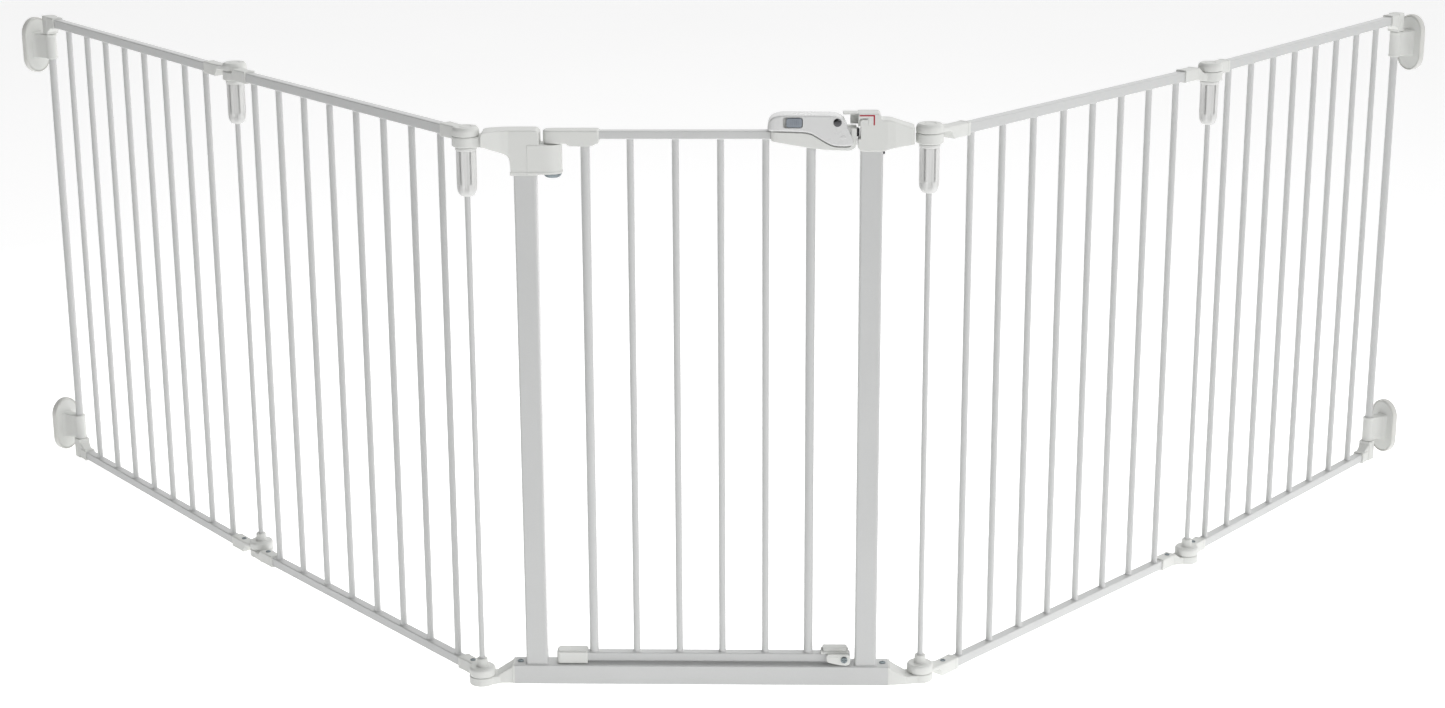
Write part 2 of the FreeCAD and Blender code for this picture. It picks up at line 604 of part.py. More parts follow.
def handle_cover():
    """Hood over the latch: two cheeks joined by a top and a left end wall."""
    cheeks = [plate_y(cover_outline(), y0, y1)
              for y0, y1 in ((-COVER_OUTER, -COVER_INNER), (COVER_INNER, COVER_OUTER))]
    roof_line = [(87.5, 749.2), (88.6, 760.5), (92.0, 765.5), (97.5, 768.5), (106.0, 769.9), (168.0, 769.4),
                 (168.0, 766.9), (106.0, 767.2), (99.0, 766.0), (94.5, 763.6), (91.6, 759.6), (90.6, 749.2)]
    hood = fuse(plate_y(roof_line, -COVER_INNER, COVER_INNER), *cheeks)
    x0, x1, z0, z1 = WINDOW
    window = box(x0, x1, -COVER_OUTER - 1, -COVER_INNER + 0.1, z0, z1)
    rivet_hole = rod_y(RIVET[0], RIVET[1], 3.0 + RUN_GAP, -COVER_OUTER, COVER_OUTER)
    return cut(hood, window, rivet_hole)


def slide_button():
    """Thumb slide in the cover's window."""
    x0, x1, z0, z1 = WINDOW
    button = box(x0 + 4.8, x1 - 1.2, -COVER_OUTER - 0.3, -COVER_INNER + 0.05, z0 + 0.4, z1 - 0.9)
    return button.makeFillet(2.5, [e for e in button.Edges if abs(e.Length - 2.95) < 0.02])


def lock_bolt():
    """Bolt that the handle draws back out of the keeper."""
    nose = box(168.0, 203.2, -4.8, 4.8, 740.9, 751.1)
    return soften(nose, 1.5, lambda p: p.x > 202.5)


def handle_spring():
    """Return spring on the rivet, inside the latch base."""
    x, z = RIVET
    rings = [Part.makeTorus(3.5, 0.4, Vector(x, y, z), Y_AXIS) for y in (5.2, 6.3, 7.4, 8.5, 9.6, 10.7)]
    return group(rings)


def handle():
    save("handle_cover", handle_cover())
    save("slide_button", slide_button())
    save("lock_bolt", lock_bolt())
    save("handle_spring", handle_spring())


def main():
    os.makedirs(OUT, exist_ok=True)
    gate_frame()
    door()
    handle()
    inner_panel("left_inner", LEFT_INNER)
    inner_panel("right_inner", RIGHT_INNER)
    outer_panel("left_outer", LEFT_OUTER)
    outer_panel("right_outer", RIGHT_OUTER)
    wall_mounts("left", LEFT_OUTER, 180 - WALL_ARM_ANGLE)
    wall_mounts("right", RIGHT_OUTER, WALL_ARM_ANGLE)
    knob_places = {"left_gate": LEFT_ROD, "right_gate": RIGHT_ROD,
                   "left_panel": LEFT_INNER.point(PANEL_SPAN, -ROD_OFFSET),
                   "right_panel": RIGHT_INNER.point(PANEL_SPAN, -ROD_OFFSET)}
    for name, place in knob_places.items():
        save(name + "_knob", lock_knob(place.x, place.y))


main()
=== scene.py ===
"""Looks of a folding safety gate: detailed mouldings, finishes, floor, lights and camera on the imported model.

Shapes are worked out in millimetres and put into meshes in metres.  +Z is up, the gate section stands in
the plane y = 0 and faces -Y, and the side panels fold back towards +Y.
"""

import json
import logging
import math
from dataclasses import dataclass, field
from enum import Enum
from typing import Callable, Optional, Sequence, Union

import bpy
import numpy as np
from mathutils import Matrix, Vector


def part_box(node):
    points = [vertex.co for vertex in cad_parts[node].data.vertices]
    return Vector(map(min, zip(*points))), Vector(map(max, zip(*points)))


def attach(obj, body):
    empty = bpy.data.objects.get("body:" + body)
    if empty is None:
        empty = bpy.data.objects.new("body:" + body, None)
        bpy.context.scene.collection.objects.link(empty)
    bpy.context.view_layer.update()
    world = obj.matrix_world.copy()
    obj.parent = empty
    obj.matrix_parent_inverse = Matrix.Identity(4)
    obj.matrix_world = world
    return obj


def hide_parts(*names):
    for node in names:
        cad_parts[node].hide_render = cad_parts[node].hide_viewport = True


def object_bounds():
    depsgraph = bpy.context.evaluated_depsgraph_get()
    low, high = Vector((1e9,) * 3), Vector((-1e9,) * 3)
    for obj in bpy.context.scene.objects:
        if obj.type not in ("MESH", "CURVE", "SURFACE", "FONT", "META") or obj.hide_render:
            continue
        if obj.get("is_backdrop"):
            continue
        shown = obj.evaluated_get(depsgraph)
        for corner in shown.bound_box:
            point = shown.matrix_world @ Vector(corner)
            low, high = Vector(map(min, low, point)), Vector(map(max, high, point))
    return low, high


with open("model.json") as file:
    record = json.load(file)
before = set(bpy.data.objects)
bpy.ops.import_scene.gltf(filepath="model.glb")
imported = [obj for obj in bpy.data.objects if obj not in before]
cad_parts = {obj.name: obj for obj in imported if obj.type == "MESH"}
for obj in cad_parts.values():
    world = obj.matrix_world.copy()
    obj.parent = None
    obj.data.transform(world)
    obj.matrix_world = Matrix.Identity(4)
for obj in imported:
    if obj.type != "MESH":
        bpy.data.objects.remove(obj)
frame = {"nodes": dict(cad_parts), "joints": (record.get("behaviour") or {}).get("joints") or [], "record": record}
MM = 0.001
LOG = logging.getLogger("gate")
Outline = Sequence[tuple[float, float]]
SHARP_FOLD = math.radians(38)
CUT_RIM = 0.02


class Slot(Enum):
    """The record's material slots."""

    TUBE = "white_tube"
    ROD = "white_rod"
    SCREW = "screw_steel"
    RIVET = "rivet_steel"
    SPRING = "spring_steel"
    BOLT = "bolt_black"
    INDICATOR = "indicator_red"
    BUTTON = "button_grey"
    KNOB = "knob_white"
    CUP = "cup_white"
    HANDLE = "handle_white"
    MOULDING = "moulding_white"


class Grain(Enum):
    """Kinds of surface relief."""

    PEEL = "powder coat, gently rippled"
    SPARK = "moulded with a fine spark texture"
    BRUSHED = "drawn or turned metal"
    GLOSS = "polished mould, nearly flat"


# ---- surfaces ------------------------------------------------------------------------------------------------
@dataclass
class Shell:
    """A closed surface in millimetres: corners, four-sided faces and the flat caps at its ends."""

    verts: np.ndarray
    quads: np.ndarray
    caps: list[np.ndarray]

    def volume(self) -> float:
        """Signed volume: a sixth of the summed triple products of all triangles, with caps cut as fans."""
        tris = [self.quads[:, [0, 1, 2]], self.quads[:, [0, 2, 3]]]
        for cap in self.caps:
            tris.append(np.stack([np.full(len(cap) - 2, cap[0]), cap[1:-1], cap[2:]], axis=1))
        t = self.verts[np.concatenate(tris)]
        return float(np.einsum("ij,ij->i", t[:, 0], np.cross(t[:, 1], t[:, 2])).sum() / 6)

    def outward(self) -> "Shell":
        """The same shell with every face turned to look outwards."""
        if self.volume() >= 0:
            return self
        return Shell(self.verts, self.quads[:, ::-1], [cap[::-1] for cap in self.caps])

    def axes(self, order: Sequence[int]) -> "Shell":
        """The shell with its columns taken in another order, such as (0, 2, 1) to stand an outline up."""
        return Shell(self.verts[:, list(order)], self.quads, self.caps).outward()

    def moved(self, x: float = 0.0, y: float = 0.0, z: float = 0.0) -> "Shell":
        """The shell carried by (x, y, z)."""
        return Shell(self.verts + np.array([x, y, z]), self.quads, self.caps)

    def turned(self, degrees: float) -> "Shell":
        """The shell turned about the upright line through the origin."""
        c, s = math.cos(math.radians(degrees)), math.sin(math.radians(degrees))
        return Shell(self.verts @ np.array([[c, s, 0], [-s, c, 0], [0, 0, 1]]), self.quads, self.caps)


def skin(rings: np.ndarray, loop: bool = False) -> Shell:
    """Joins closed rings of points with four-sided faces.

    Args:
        rings: points as (ring, place in ring, xyz).
        loop: joins the last ring to the first instead of capping both.

    Returns:
        The closed shell.
    """
    index = np.arange(rings.shape[0] * rings.shape[1]).reshape(rings.shape[:2])
    near = index if loop else index[:-1]
    far = np.roll(index, -1, axis=0) if loop else index[1:]
    quads = np.stack([near, np.roll(near, -1, axis=1), np.roll(far, -1, axis=1), far], axis=-1)
    caps = [] if loop else [index[0][::-1], index[-1]]
    return Shell(rings.reshape(-1, 3).astype(float), quads.reshape(-1, 4), caps).outward()


def rounded(points: Outline, radius: Union[float, Sequence[float]], steps: int = 4,
            closed: bool = True) -> np.ndarray:
    """Rounds corners: each becomes the curve (1-t)^2 a + 2t(1-t) c + t^2 b, where c is the corner and a and
    b lie `radius` back along its two sides.

    Args:
        points: the corners in order.
        radius: how far back the rounding starts, at most 0.45 of a side; one value or one per corner.
        steps: pieces in each rounding.
        closed: whether the last point joins the first.

    Returns:
        The rounded points as (number, 2).
    """
    p = np.asarray(points, float)
    reach = np.broadcast_to(np.asarray(radius, float), len(p))[:, None]

    def back_along(side: np.ndarray) -> np.ndarray:
        """Points on the sides, `radius` away from the corners."""
        length = np.maximum(np.linalg.norm(side, axis=1, keepdims=True), 1e-9)
        return p + side * np.minimum(reach / length, 0.45)

    a = back_along(np.roll(p, 1, axis=0) - p)[:, None]
    b = back_along(np.roll(p, -1, axis=0) - p)[:, None]
    t = np.linspace(0, 1, steps + 1)[None, :, None]
    curve = (1 - t) ** 2 * a + 2 * t * (1 - t) * p[:, None] + t**2 * b
    if closed:
        return curve.reshape(-1, 2)
    return np.concatenate([p[:1], curve[1:-1].reshape(-1, 2), p[-1:]])


@dataclass
class Edge:
    """A closed outline given by its corners and how far each one is rounded."""

    corners: Outline
    radius: Union[float, Sequence[float]]
    steps: int = 4

    def shrunk(self, distance: float) -> "Edge":
        """The outline with every side moved in: a corner moves along the mean normal of its two sides, over the
        cosine of half their angle, and outward corners lose as much radius as inward ones gain.

        Args:
            distance: how far in; below 0 moves it out.

        Returns:
            The new outline.
        """
        p = np.asarray(self.corners, float)
        side = np.roll(p, -1, axis=0) - p
        normal = np.stack([side[:, 1], -side[:, 0]], axis=1) / np.linalg.norm(side, axis=1, keepdims=True)
        before = np.roll(normal, 1, axis=0)
        turn = np.sign(p[:, 0] @ np.roll(p[:, 1], -1) - p[:, 1] @ np.roll(p[:, 0], -1))
        share = np.maximum(1 + np.einsum("ij,ij->i", normal, before), 0.35)[:, None]
        bend = turn * (before[:, 0] * normal[:, 1] - before[:, 1] * normal[:, 0])
        radius = np.maximum(np.broadcast_to(self.radius, len(p)) - np.sign(bend) * distance, 0.12)
        moved = p - distance * turn * (normal + before) / share
        return Edge([tuple(point) for point in moved], list(radius), self.steps)

    def ring(self, distance: float = 0.0) -> np.ndarray:
        """The rounded outline, moved in by a distance."""
        edge = self.shrunk(distance) if distance else self
        return rounded(edge.corners, edge.radius, edge.steps)


def oblong(u0: float, v0: float, u1: float, v1: float, radius: Union[float, Sequence[float]],
           steps: int = 4) -> Edge:
    """An outline with four square corners between (u0, v0) and (u1, v1)."""
    return Edge([(u0, v0), (u1, v0), (u1, v1), (u0, v1)], radius, steps)


def slab(edge: Edge, low: float, high: float, rim: float = 1.2, steps: int = 3) -> Shell:
    """Carries an outline (u, v) from w = low to w = high with rounded rims.

    A rim is a quarter circle: at angle a the ring is moved in by rim (1 - sin a) and stands rim (1 - cos a)
    from the face.

    Args:
        edge: the outline.
        low, high: where the two faces stand.
        rim: size of the rims.
        steps: pieces in each rim.

    Returns:
        The closed shell.
    """
    angles = np.linspace(0, math.pi / 2, steps + 1)
    rings = [edge.ring(rim * (1 - math.sin(a))) for a in angles]
    rise = rim * (1 - np.cos(angles))
    below = [np.column_stack([ring, np.full(len(ring), low + h)]) for ring, h in zip(rings, rise)]
    above = [np.column_stack([ring, np.full(len(ring), high - h)]) for ring, h in zip(rings, rise)]
    return skin(np.stack(below + above[::-1]))


def front(edge: Edge, y0: float, y1: float, rim: float = 1.2, steps: int = 3) -> Shell:
    """A slab whose outline is seen from the front, as (x, z)."""
    return slab(edge, y0, y1, rim, steps).axes((0, 2, 1))


def lathe(profile: np.ndarray, x: float = 0.0, y: float = 0.0, segments: int = 56,
          cut: Optional[Callable[[np.ndarray, np.ndarray], np.ndarray]] = None) -> Shell:
    """Turns a profile (r, z) about an upright line: x = r cos a, y = r sin a.

    Args:
        profile: points from one end to the other, with r above 0.
        x, y: place of the line.
        segments: number of sides.
        cut: gives how far each (angle, z) is cut back in radius.

    Returns:
        The closed shell.
    """
    a = np.linspace(0, 2 * math.pi, segments, endpoint=False)[None]
    r, z = profile[:, :1], np.repeat(profile[:, 1:], segments, axis=1)
    r = r - cut(a, z) if cut else np.repeat(r, segments, axis=1)
    return skin(np.stack([x + r * np.cos(a), y + r * np.sin(a), z], axis=-1))


def spun(points: Outline, radius: Union[float, Sequence[float]], steps: int, x: float = 0.0, y: float = 0.0,
         segments: int = 56) -> Shell:
    """A lathe shape whose (r, z) profile has its corners rounded."""
    return lathe(rounded(points, radius, steps, closed=False), x, y, segments)


def beam(rows: Sequence[Sequence[float]], rim: float = 0.8, steps: int = 3) -> Shell:
    """A bar whose rounded rectangular section changes along its length.

    A ring's point is a corner's centre plus radius (cos a, sin a), and the four centres stand the radius
    inside the rectangle.  Both ends are closed with a quarter-circle rim.

    Args:
        rows: one row of (s, middle, half width, low z, high z, corner radius) for each station.
        rim: size of the end rims.
        steps: pieces in each rounding.

    Returns:
        The closed shell, with its length along the first axis.
    """
    rows = np.asarray(rows, float)
    a = np.linspace(0, math.pi / 2, steps + 1)[:, None]
    shrink = rim * (1 - np.sin(a)) * np.array([[0, 0, -1, 1, -1, 0]])
    along = rim * (1 - np.cos(a)) * np.array([[1, 0, 0, 0, 0, 0]]) * np.sign(rows[1, 0] - rows[0, 0])
    rows = np.concatenate([rows[:1] + shrink + along, rows[1:-1], (rows[-1:] + shrink - along)[::-1]])
    s, mid, half, low, high, radius = (column[:, None] for column in rows.T)
    corner = np.repeat(np.arange(4), steps + 1)
    angle = np.concatenate([np.linspace(k, k + 1, steps + 1) for k in range(4)])[None] * math.pi / 2
    side_t = np.array([1, -1, -1, 1])[corner][None]
    side_z = np.array([1, 1, -1, -1])[corner][None]
    t = mid + side_t * (half - radius) + radius * np.cos(angle)
    z = (low + high) / 2 + side_z * ((high - low) / 2 - radius) + radius * np.sin(angle)
    return skin(np.stack([np.repeat(s, t.shape[1], axis=1), t, z], axis=-1))


def bar(s0: float, s1: float, half: float, low: float, high: float, radius: float, rim: float = 0.8,
        steps: int = 3) -> Shell:
    """A beam of one section from s0 to s1, from -half to half across and from low to high."""
    return beam([(s, 0, half, low, high, radius) for s in (s0, s1)], rim, steps)


def stations(under: np.ndarray, over: np.ndarray, between: Sequence[float], middle: Outline, half: Outline,
             radius: float, span: Optional[tuple[float, float]] = None) -> np.ndarray:
    """Rows for a beam: every height and width is read from its own line of (x, value) points.

    Args:
        under, over: the under side and the top; rows stand at all their points.
        between: where more rows stand.
        middle, half: the section's middle and half width.
        radius: corner radius, at most 0.45 of the smaller side.
        span: the part of the length that is kept.

    Returns:
        Rows of (x, middle, half, low, high, radius).
    """
    x = np.unique(np.concatenate([under[:, 0], over[:, 0], between]))
    x = np.unique(np.clip(x, *span)) if span else x
    read = [np.interp(x, *np.asarray(line, float).T) for line in (middle, half, under, over)]
    small = np.minimum(read[1] * 2, read[3] - read[2])
    return np.column_stack([x, *read, np.minimum(radius, 0.45 * small)])


def stadium(width: float, height: float, profile: Outline, steps: int = 20) -> Shell:
    """Sweeps a profile round an upright stadium: at (inset, depth) the ring is two half circles of radius
    width / 2 - inset, their centres kept, joined by straight sides.

    Args:
        width, height: the stadium's two sides.
        profile: points of (inset, depth), with depth along +X.
        steps: points on each half circle.

    Returns:
        The closed shell.
    """
    p = np.asarray(profile, float)
    a = np.concatenate([np.linspace(0, math.pi, steps), np.linspace(math.pi, 2 * math.pi, steps)])[None]
    centre = np.repeat([1.0, -1.0], steps)[None] * (height - width) / 2
    r = width / 2 - p[:, :1]
    depth = np.repeat(p[:, 1:], 2 * steps, axis=1)
    return skin(np.stack([depth, r * np.cos(a), centre + r * np.sin(a)], axis=-1))


def pipe(path: np.ndarray, radius: float, sides: int = 10) -> Shell:
    """A round wire along a path: each ring is centre + radius (cos a n + sin a b), n being the level normal
    of the path and b its partner.

    Args:
        path: the wire's middle line as (number, 3).
        radius: half its thickness.
        sides: points on each ring.

    Returns:
        The closed shell.
    """
    tangent = np.gradient(path, axis=0)
    tangent /= np.linalg.norm(tangent, axis=1, keepdims=True)
    normal = np.cross(tangent, [0.0, 1.0, 0.0])
    normal /= np.linalg.norm(normal, axis=1, keepdims=True)
    partner = np.cross(tangent, normal)
    a = np.linspace(0, 2 * math.pi, sides, endpoint=False)[None, :, None]
    return skin(path[:, None] + radius * (np.cos(a) * normal[:, None] + np.sin(a) * partner[:, None]))


# ---- shader graph --------------------------------------------------------------------------------------------
class Value:
    """A number in a shader graph; arithmetic on it adds Math nodes."""

    def __init__(self, graph: "Graph", socket: bpy.types.NodeSocket) -> None:
        """Wraps an output socket."""
        self.graph = graph
        self.socket = socket

    def maths(self, operation: str, first: object, second: object = 0.0) -> "Value":
        """Adds one Math node on two numbers or values."""
        node = self.graph.add("ShaderNodeMath", {"operation": operation}, {0: first, 1: second})
        return Value(self.graph, node.outputs[0])

    def __add__(self, other: object) -> "Value":
        """self + other."""
        return self.maths("ADD", self, other)

    __radd__ = __add__

    def __sub__(self, other: object) -> "Value":
        """self - other."""
        return self.maths("SUBTRACT", self, other)

    def __rsub__(self, other: object) -> "Value":
        """other - self."""
        return self.maths("SUBTRACT", other, self)

    def __mul__(self, other: object) -> "Value":
        """self * other."""
        return self.maths("MULTIPLY", self, other)

    __rmul__ = __mul__


class Graph:
    """The node tree of one material."""

    def __init__(self, name: str) -> None:
        """Makes an empty material with a shader and an output."""
        self.material = bpy.data.materials.new(name)
        self.material.use_nodes = True
        self.tree = self.material.node_tree
        self.tree.nodes.clear()
        self.shader = self.add("ShaderNodeBsdfPrincipled")
        self.add("ShaderNodeOutputMaterial", inputs={"Surface": self.shader.outputs[0]})
        self.place = self.add("ShaderNodeTexCoord").outputs["Object"]

    def add(self, kind: str, settings: Optional[dict] = None, inputs: Optional[dict] = None) -> bpy.types.Node:
        """Adds a node.

        Args:
            kind: the node's type.
            settings: its properties, set first.
            inputs: values or links by socket name or number.

        Returns:
            The node.
        """
        node = self.tree.nodes.new(kind)
        for key, value in (settings or {}).items():
            setattr(node, key, value)
        for key, value in (inputs or {}).items():
            source = value.socket if isinstance(value, Value) else value
            if isinstance(source, bpy.types.NodeSocket):
                self.tree.links.new(source, node.inputs[key])
            else:
                node.inputs[key].default_value = source
        return node

    def noise(self, scale: float, detail: float = 2.0, stretch: tuple[float, float, float] = (1, 1, 1)) -> Value:
        """A noise over the piece, from 0 to 1, with `scale` cells in a metre."""
        spread = self.add("ShaderNodeMapping", {"vector_type": "POINT"}, {"Vector": self.place, "Scale": stretch})
        node = self.add("ShaderNodeTexNoise", None, {"Vector": spread.outputs[0], "Scale": scale, "Detail": detail})
        return Value(self, node.outputs["Fac"])

    def band(self, value: Value, low: float, high: float) -> Value:
        """A value stretched so that low..high becomes 0..1, held at both ends."""
        node = self.add("ShaderNodeMapRange", {"clamp": True}, {"Value": value, "From Min": low, "From Max": high})
        return Value(self, node.outputs[0])

    def blend(self, factor: Value, first: Sequence[float], second: Sequence[float]) -> bpy.types.NodeSocket:
        """A colour between two, by a factor."""
        node = self.add("ShaderNodeMix", {"data_type": "RGBA"}, {0: factor, 6: (*first, 1.0), 7: (*second, 1.0)})
        return node.outputs[2]

    def relief(self, height: Value, strength: float, depth_mm: float) -> bpy.types.NodeSocket:
        """A bump from a height of 0 to 1 that stands for so many millimetres."""
        node = self.add("ShaderNodeBump", None, {"Height": height, "Strength": strength, "Distance": depth_mm * MM})
        return node.outputs[0]


@dataclass(frozen=True)
class Finish:
    """How one material slot looks: colours, gloss, and the scale (cells in a metre) and depth (mm) of its grain."""

    slot: Slot
    grain: Grain
    colour: tuple[float, float, float]
    shade: tuple[float, float, float]
    roughness: float
    metallic: float = 0.0
    coat: float = 0.0
    swing: float = 0.06
    grain_scale: float = 500.0
    grain_depth: float = 0.12
    strength: float = 0.4

    def build(self) -> bpy.types.Material:
        """Makes the material: soft clouds vary colour and roughness, and the grain feeds a bump."""
        graph = Graph(self.slot.value)
        clouds = graph.band(graph.noise(9.0, 3.0), 0.3, 0.7)
        smudges = graph.band(graph.noise(38.0, 4.0), 0.35, 0.75)
        fine = self.fine(graph)
        tone = clouds * 0.65 + fine * 0.35
        shader = graph.shader
        graph.tree.links.new(graph.blend(tone, self.colour, self.shade), shader.inputs["Base Color"])
        rough = self.roughness - self.swing / 2 + smudges * self.swing + fine * (self.swing * 0.4)
        graph.tree.links.new(rough.socket, shader.inputs["Roughness"])
        graph.tree.links.new(graph.relief(self.height(graph, fine, clouds), self.strength, self.grain_depth),
                             shader.inputs["Normal"])
        shader.inputs["Metallic"].default_value = self.metallic
        shader.inputs["Coat Weight"].default_value = self.coat
        shader.inputs["Coat Roughness"].default_value = 0.12
        return graph.material

    def fine(self, graph: Graph) -> Value:
        """The fine pattern of the grain, from 0 to 1."""
        if self.grain is Grain.BRUSHED:
            return graph.noise(self.grain_scale, 2.0, (1.0, 1.0, 0.08))
        if self.grain is Grain.SPARK:
            pits = graph.noise(self.grain_scale, 4.0)
            return graph.band(pits * 0.7 + graph.noise(self.grain_scale * 0.45, 2.0) * 0.3, 0.3, 0.7)
        return graph.band(graph.noise(self.grain_scale, 1.0), 0.25, 0.75)

    def height(self, graph: Graph, fine: Value, clouds: Value) -> Value:
        """The relief: the fine grain with a slow waviness under it."""
        slow = graph.noise(60.0, 1.0)
        weight = 0.55 if self.grain is Grain.GLOSS else 0.25
        return fine * (1.0 - weight) + slow * weight + clouds * 0.05


WHITE_PAINT = (0.578, 0.584, 0.580)
WHITE_SHADE = (0.550, 0.557, 0.553)
FINISHES = (
    Finish(Slot.TUBE, Grain.PEEL, WHITE_PAINT, WHITE_SHADE, 0.36, coat=0.25, grain_scale=420.0,
           grain_depth=0.10, strength=0.30),
    Finish(Slot.ROD, Grain.PEEL, WHITE_PAINT, WHITE_SHADE, 0.33, coat=0.25, grain_scale=520.0,
           grain_depth=0.08, strength=0.25),
    Finish(Slot.MOULDING, Grain.SPARK, (0.705, 0.712, 0.690), (0.675, 0.682, 0.660), 0.47, grain_scale=1500.0,
           grain_depth=0.06, strength=0.35),
    Finish(Slot.KNOB, Grain.SPARK, (0.710, 0.710, 0.700), (0.675, 0.677, 0.665), 0.42, grain_scale=1300.0,
           grain_depth=0.06, strength=0.35),
    Finish(Slot.CUP, Grain.SPARK, (0.680, 0.680, 0.650), (0.645, 0.645, 0.620), 0.5, grain_scale=1400.0,
           grain_depth=0.07, strength=0.35),
    Finish(Slot.HANDLE, Grain.GLOSS, (0.665, 0.668, 0.665), (0.650, 0.653, 0.650), 0.28, coat=0.4,
           grain_scale=220.0, grain_depth=0.03, strength=0.08),
    Finish(Slot.BUTTON, Grain.GLOSS, (0.235, 0.262, 0.300), (0.195, 0.222, 0.262), 0.2, coat=0.5,
           grain_scale=260.0, grain_depth=0.04, strength=0.2),
    Finish(Slot.BOLT, Grain.SPARK, (0.02, 0.021, 0.024), (0.03, 0.031, 0.035), 0.42, grain_scale=1200.0,
           grain_depth=0.06, strength=0.4),
    Finish(Slot.INDICATOR, Grain.GLOSS, (0.42, 0.012, 0.03), (0.34, 0.01, 0.025), 0.35, grain_scale=300.0,
           grain_depth=0.03, strength=0.2),
    Finish(Slot.SCREW, Grain.BRUSHED, (0.27, 0.31, 0.33), (0.21, 0.24, 0.25), 0.3, metallic=1.0,
           grain_scale=2600.0, grain_depth=0.03, strength=0.3),
    Finish(Slot.RIVET, Grain.BRUSHED, (0.12, 0.12, 0.125), (0.08, 0.08, 0.085), 0.2, metallic=1.0,
           grain_scale=2200.0, grain_depth=0.03, strength=0.3),
    Finish(Slot.SPRING, Grain.BRUSHED, (0.55, 0.55, 0.56), (0.45, 0.45, 0.46), 0.3, metallic=1.0,
           grain_scale=2500.0, grain_depth=0.02, strength=0.3),
)


# ---- making pieces -------------------------------------------------------------------------------------------
class Workshop:
    """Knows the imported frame's bodies, joints and slots, and turns shells into dressed pieces."""

    def __init__(self) -> None:
        """Reads bodies, joints and slots from the frame and builds the finishes."""
        record = frame["record"]
        self.body_of = {node: body for body, nodes in record["behaviour"]["bodies"].items() for node in nodes}
        self.slot_of = {part["node"]: Slot(part["material_slot"]) for part in record["subparts"]}
        self.joint_at = {j["name"]: np.array(j.get("pos_m", (0, 0, 0))) / MM for j in frame["joints"]}
        self.materials = {finish.slot: finish.build() for finish in FINISHES}
        self.made = 0

    def dress_frame(self) -> None:
        """Gives every CAD node the material of its slot."""
        for name, node in frame["nodes"].items():
            node.data.materials.clear()
            node.data.materials.append(self.materials[self.slot_of[name]])

    def mesh(self, name: str, shells: Sequence[Shell]) -> bpy.types.Object:
        """Puts shells into one mesh, in metres, with smooth faces and sharp folds.

        Args:
            name: the object's name.
            shells: its closed surfaces, in millimetres.

        Returns:
            The object.
        """
        verts, faces, first = [], [], 0
        for shell in shells:
            verts.append(shell.verts * MM)
            faces += (shell.quads + first).tolist() + [(cap + first).tolist() for cap in shell.caps]
            first += len(shell.verts)
        data = bpy.data.meshes.new(name)
        data.from_pydata(np.concatenate(verts).tolist(), [], faces)
        data.shade_smooth()
        data.set_sharp_from_angle(angle=SHARP_FOLD)
        made = bpy.data.objects.new(name, data)
        bpy.context.scene.collection.objects.link(made)
        return made

    def carve(self, piece: bpy.types.Object, cutters: Sequence[Shell]) -> None:
        """Cuts shells out of a piece and keeps the result as its mesh.

        Args:
            piece: the object to cut.
            cutters: what is taken away, one after another.
        """
        for number, cutter in enumerate(cutters):
            tool = self.mesh(f"{piece.name}_cutter{number}", [cutter])
            cut = piece.modifiers.new("cut", "BOOLEAN")
            cut.operation = "DIFFERENCE"
            cut.solver = "EXACT"
            cut.object = tool
            evaluated = piece.evaluated_get(bpy.context.evaluated_depsgraph_get())
            result = bpy.data.meshes.new_from_object(evaluated)
            piece.modifiers.clear()
            piece.data = result
            bpy.data.objects.remove(tool)
        piece.data.shade_smooth()
        piece.data.set_sharp_from_angle(angle=SHARP_FOLD)

    def piece(self, name: str, shells: Sequence[Shell], nodes: Sequence[str] = (), body: str = "",
              slot: Optional[Slot] = None, cutters: Sequence[Shell] = ()) -> bpy.types.Object:
        """Makes a piece, dresses it and hangs it on its body.

        Args:
            name: the piece's name.
            shells: its closed surfaces.
            nodes: CAD nodes that it stands for; their body and slot are used.
            body: body that it rides on, where it replaces nothing.
            slot: its finish, where it replaces nothing.
            cutters: shells that are cut out of it.

        Returns:
            The object.
        """
        made = self.mesh(name, shells)
        if cutters:
            self.carve(made, cutters)
        slot = slot or self.slot_of[nodes[0]]
        made.data.materials.clear()
        made.data.materials.append(self.materials[slot])
        made.modifiers.new("even shading", "WEIGHTED_NORMAL").keep_sharp = True
        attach(made, body or self.body_of[nodes[0]])
        if nodes:
            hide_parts(*nodes)
        self.made += 1
        LOG.info("%s: %d faces on %s", name, len(made.data.polygons), body or self.body_of[nodes[0]])
        return made


def cross_screw(x: float, y: float, z: float, radius: float, height: float) -> Shell:
    """A screw head seen from above: a low dome, height (1 - (r/R)^2 / 2), with a cross recess pressed in where
    |x| or |y| is small; the rings run out from the middle and end in an upright rim.

    Args:
        x, y, z: the middle of its seat.
        radius: half its width.
        height: how far it stands up.

    Returns:
        The closed shell.
    """
    r = np.concatenate([np.linspace(0.08, 0.97, 14), [1.0, 1.0]])[:, None] * radius
    a = np.linspace(0, 2 * math.pi, 64, endpoint=False)[None]
    px, py = r * np.cos(a), r * np.sin(a)
    narrow = np.minimum(np.abs(px), np.abs(py)) / radius
    slot = np.clip((0.17 - narrow) / 0.05, 0, 1) * np.clip((0.72 - r / radius) / 0.06, 0, 1)
    top = z + height * (1 - 0.5 * (r / radius) ** 2) - slot * height * 0.75
    top[-1] = z - height * 0.3
    return skin(np.stack([x + px, y + py, np.broadcast_to(top, px.shape)], axis=-1)[::-1])


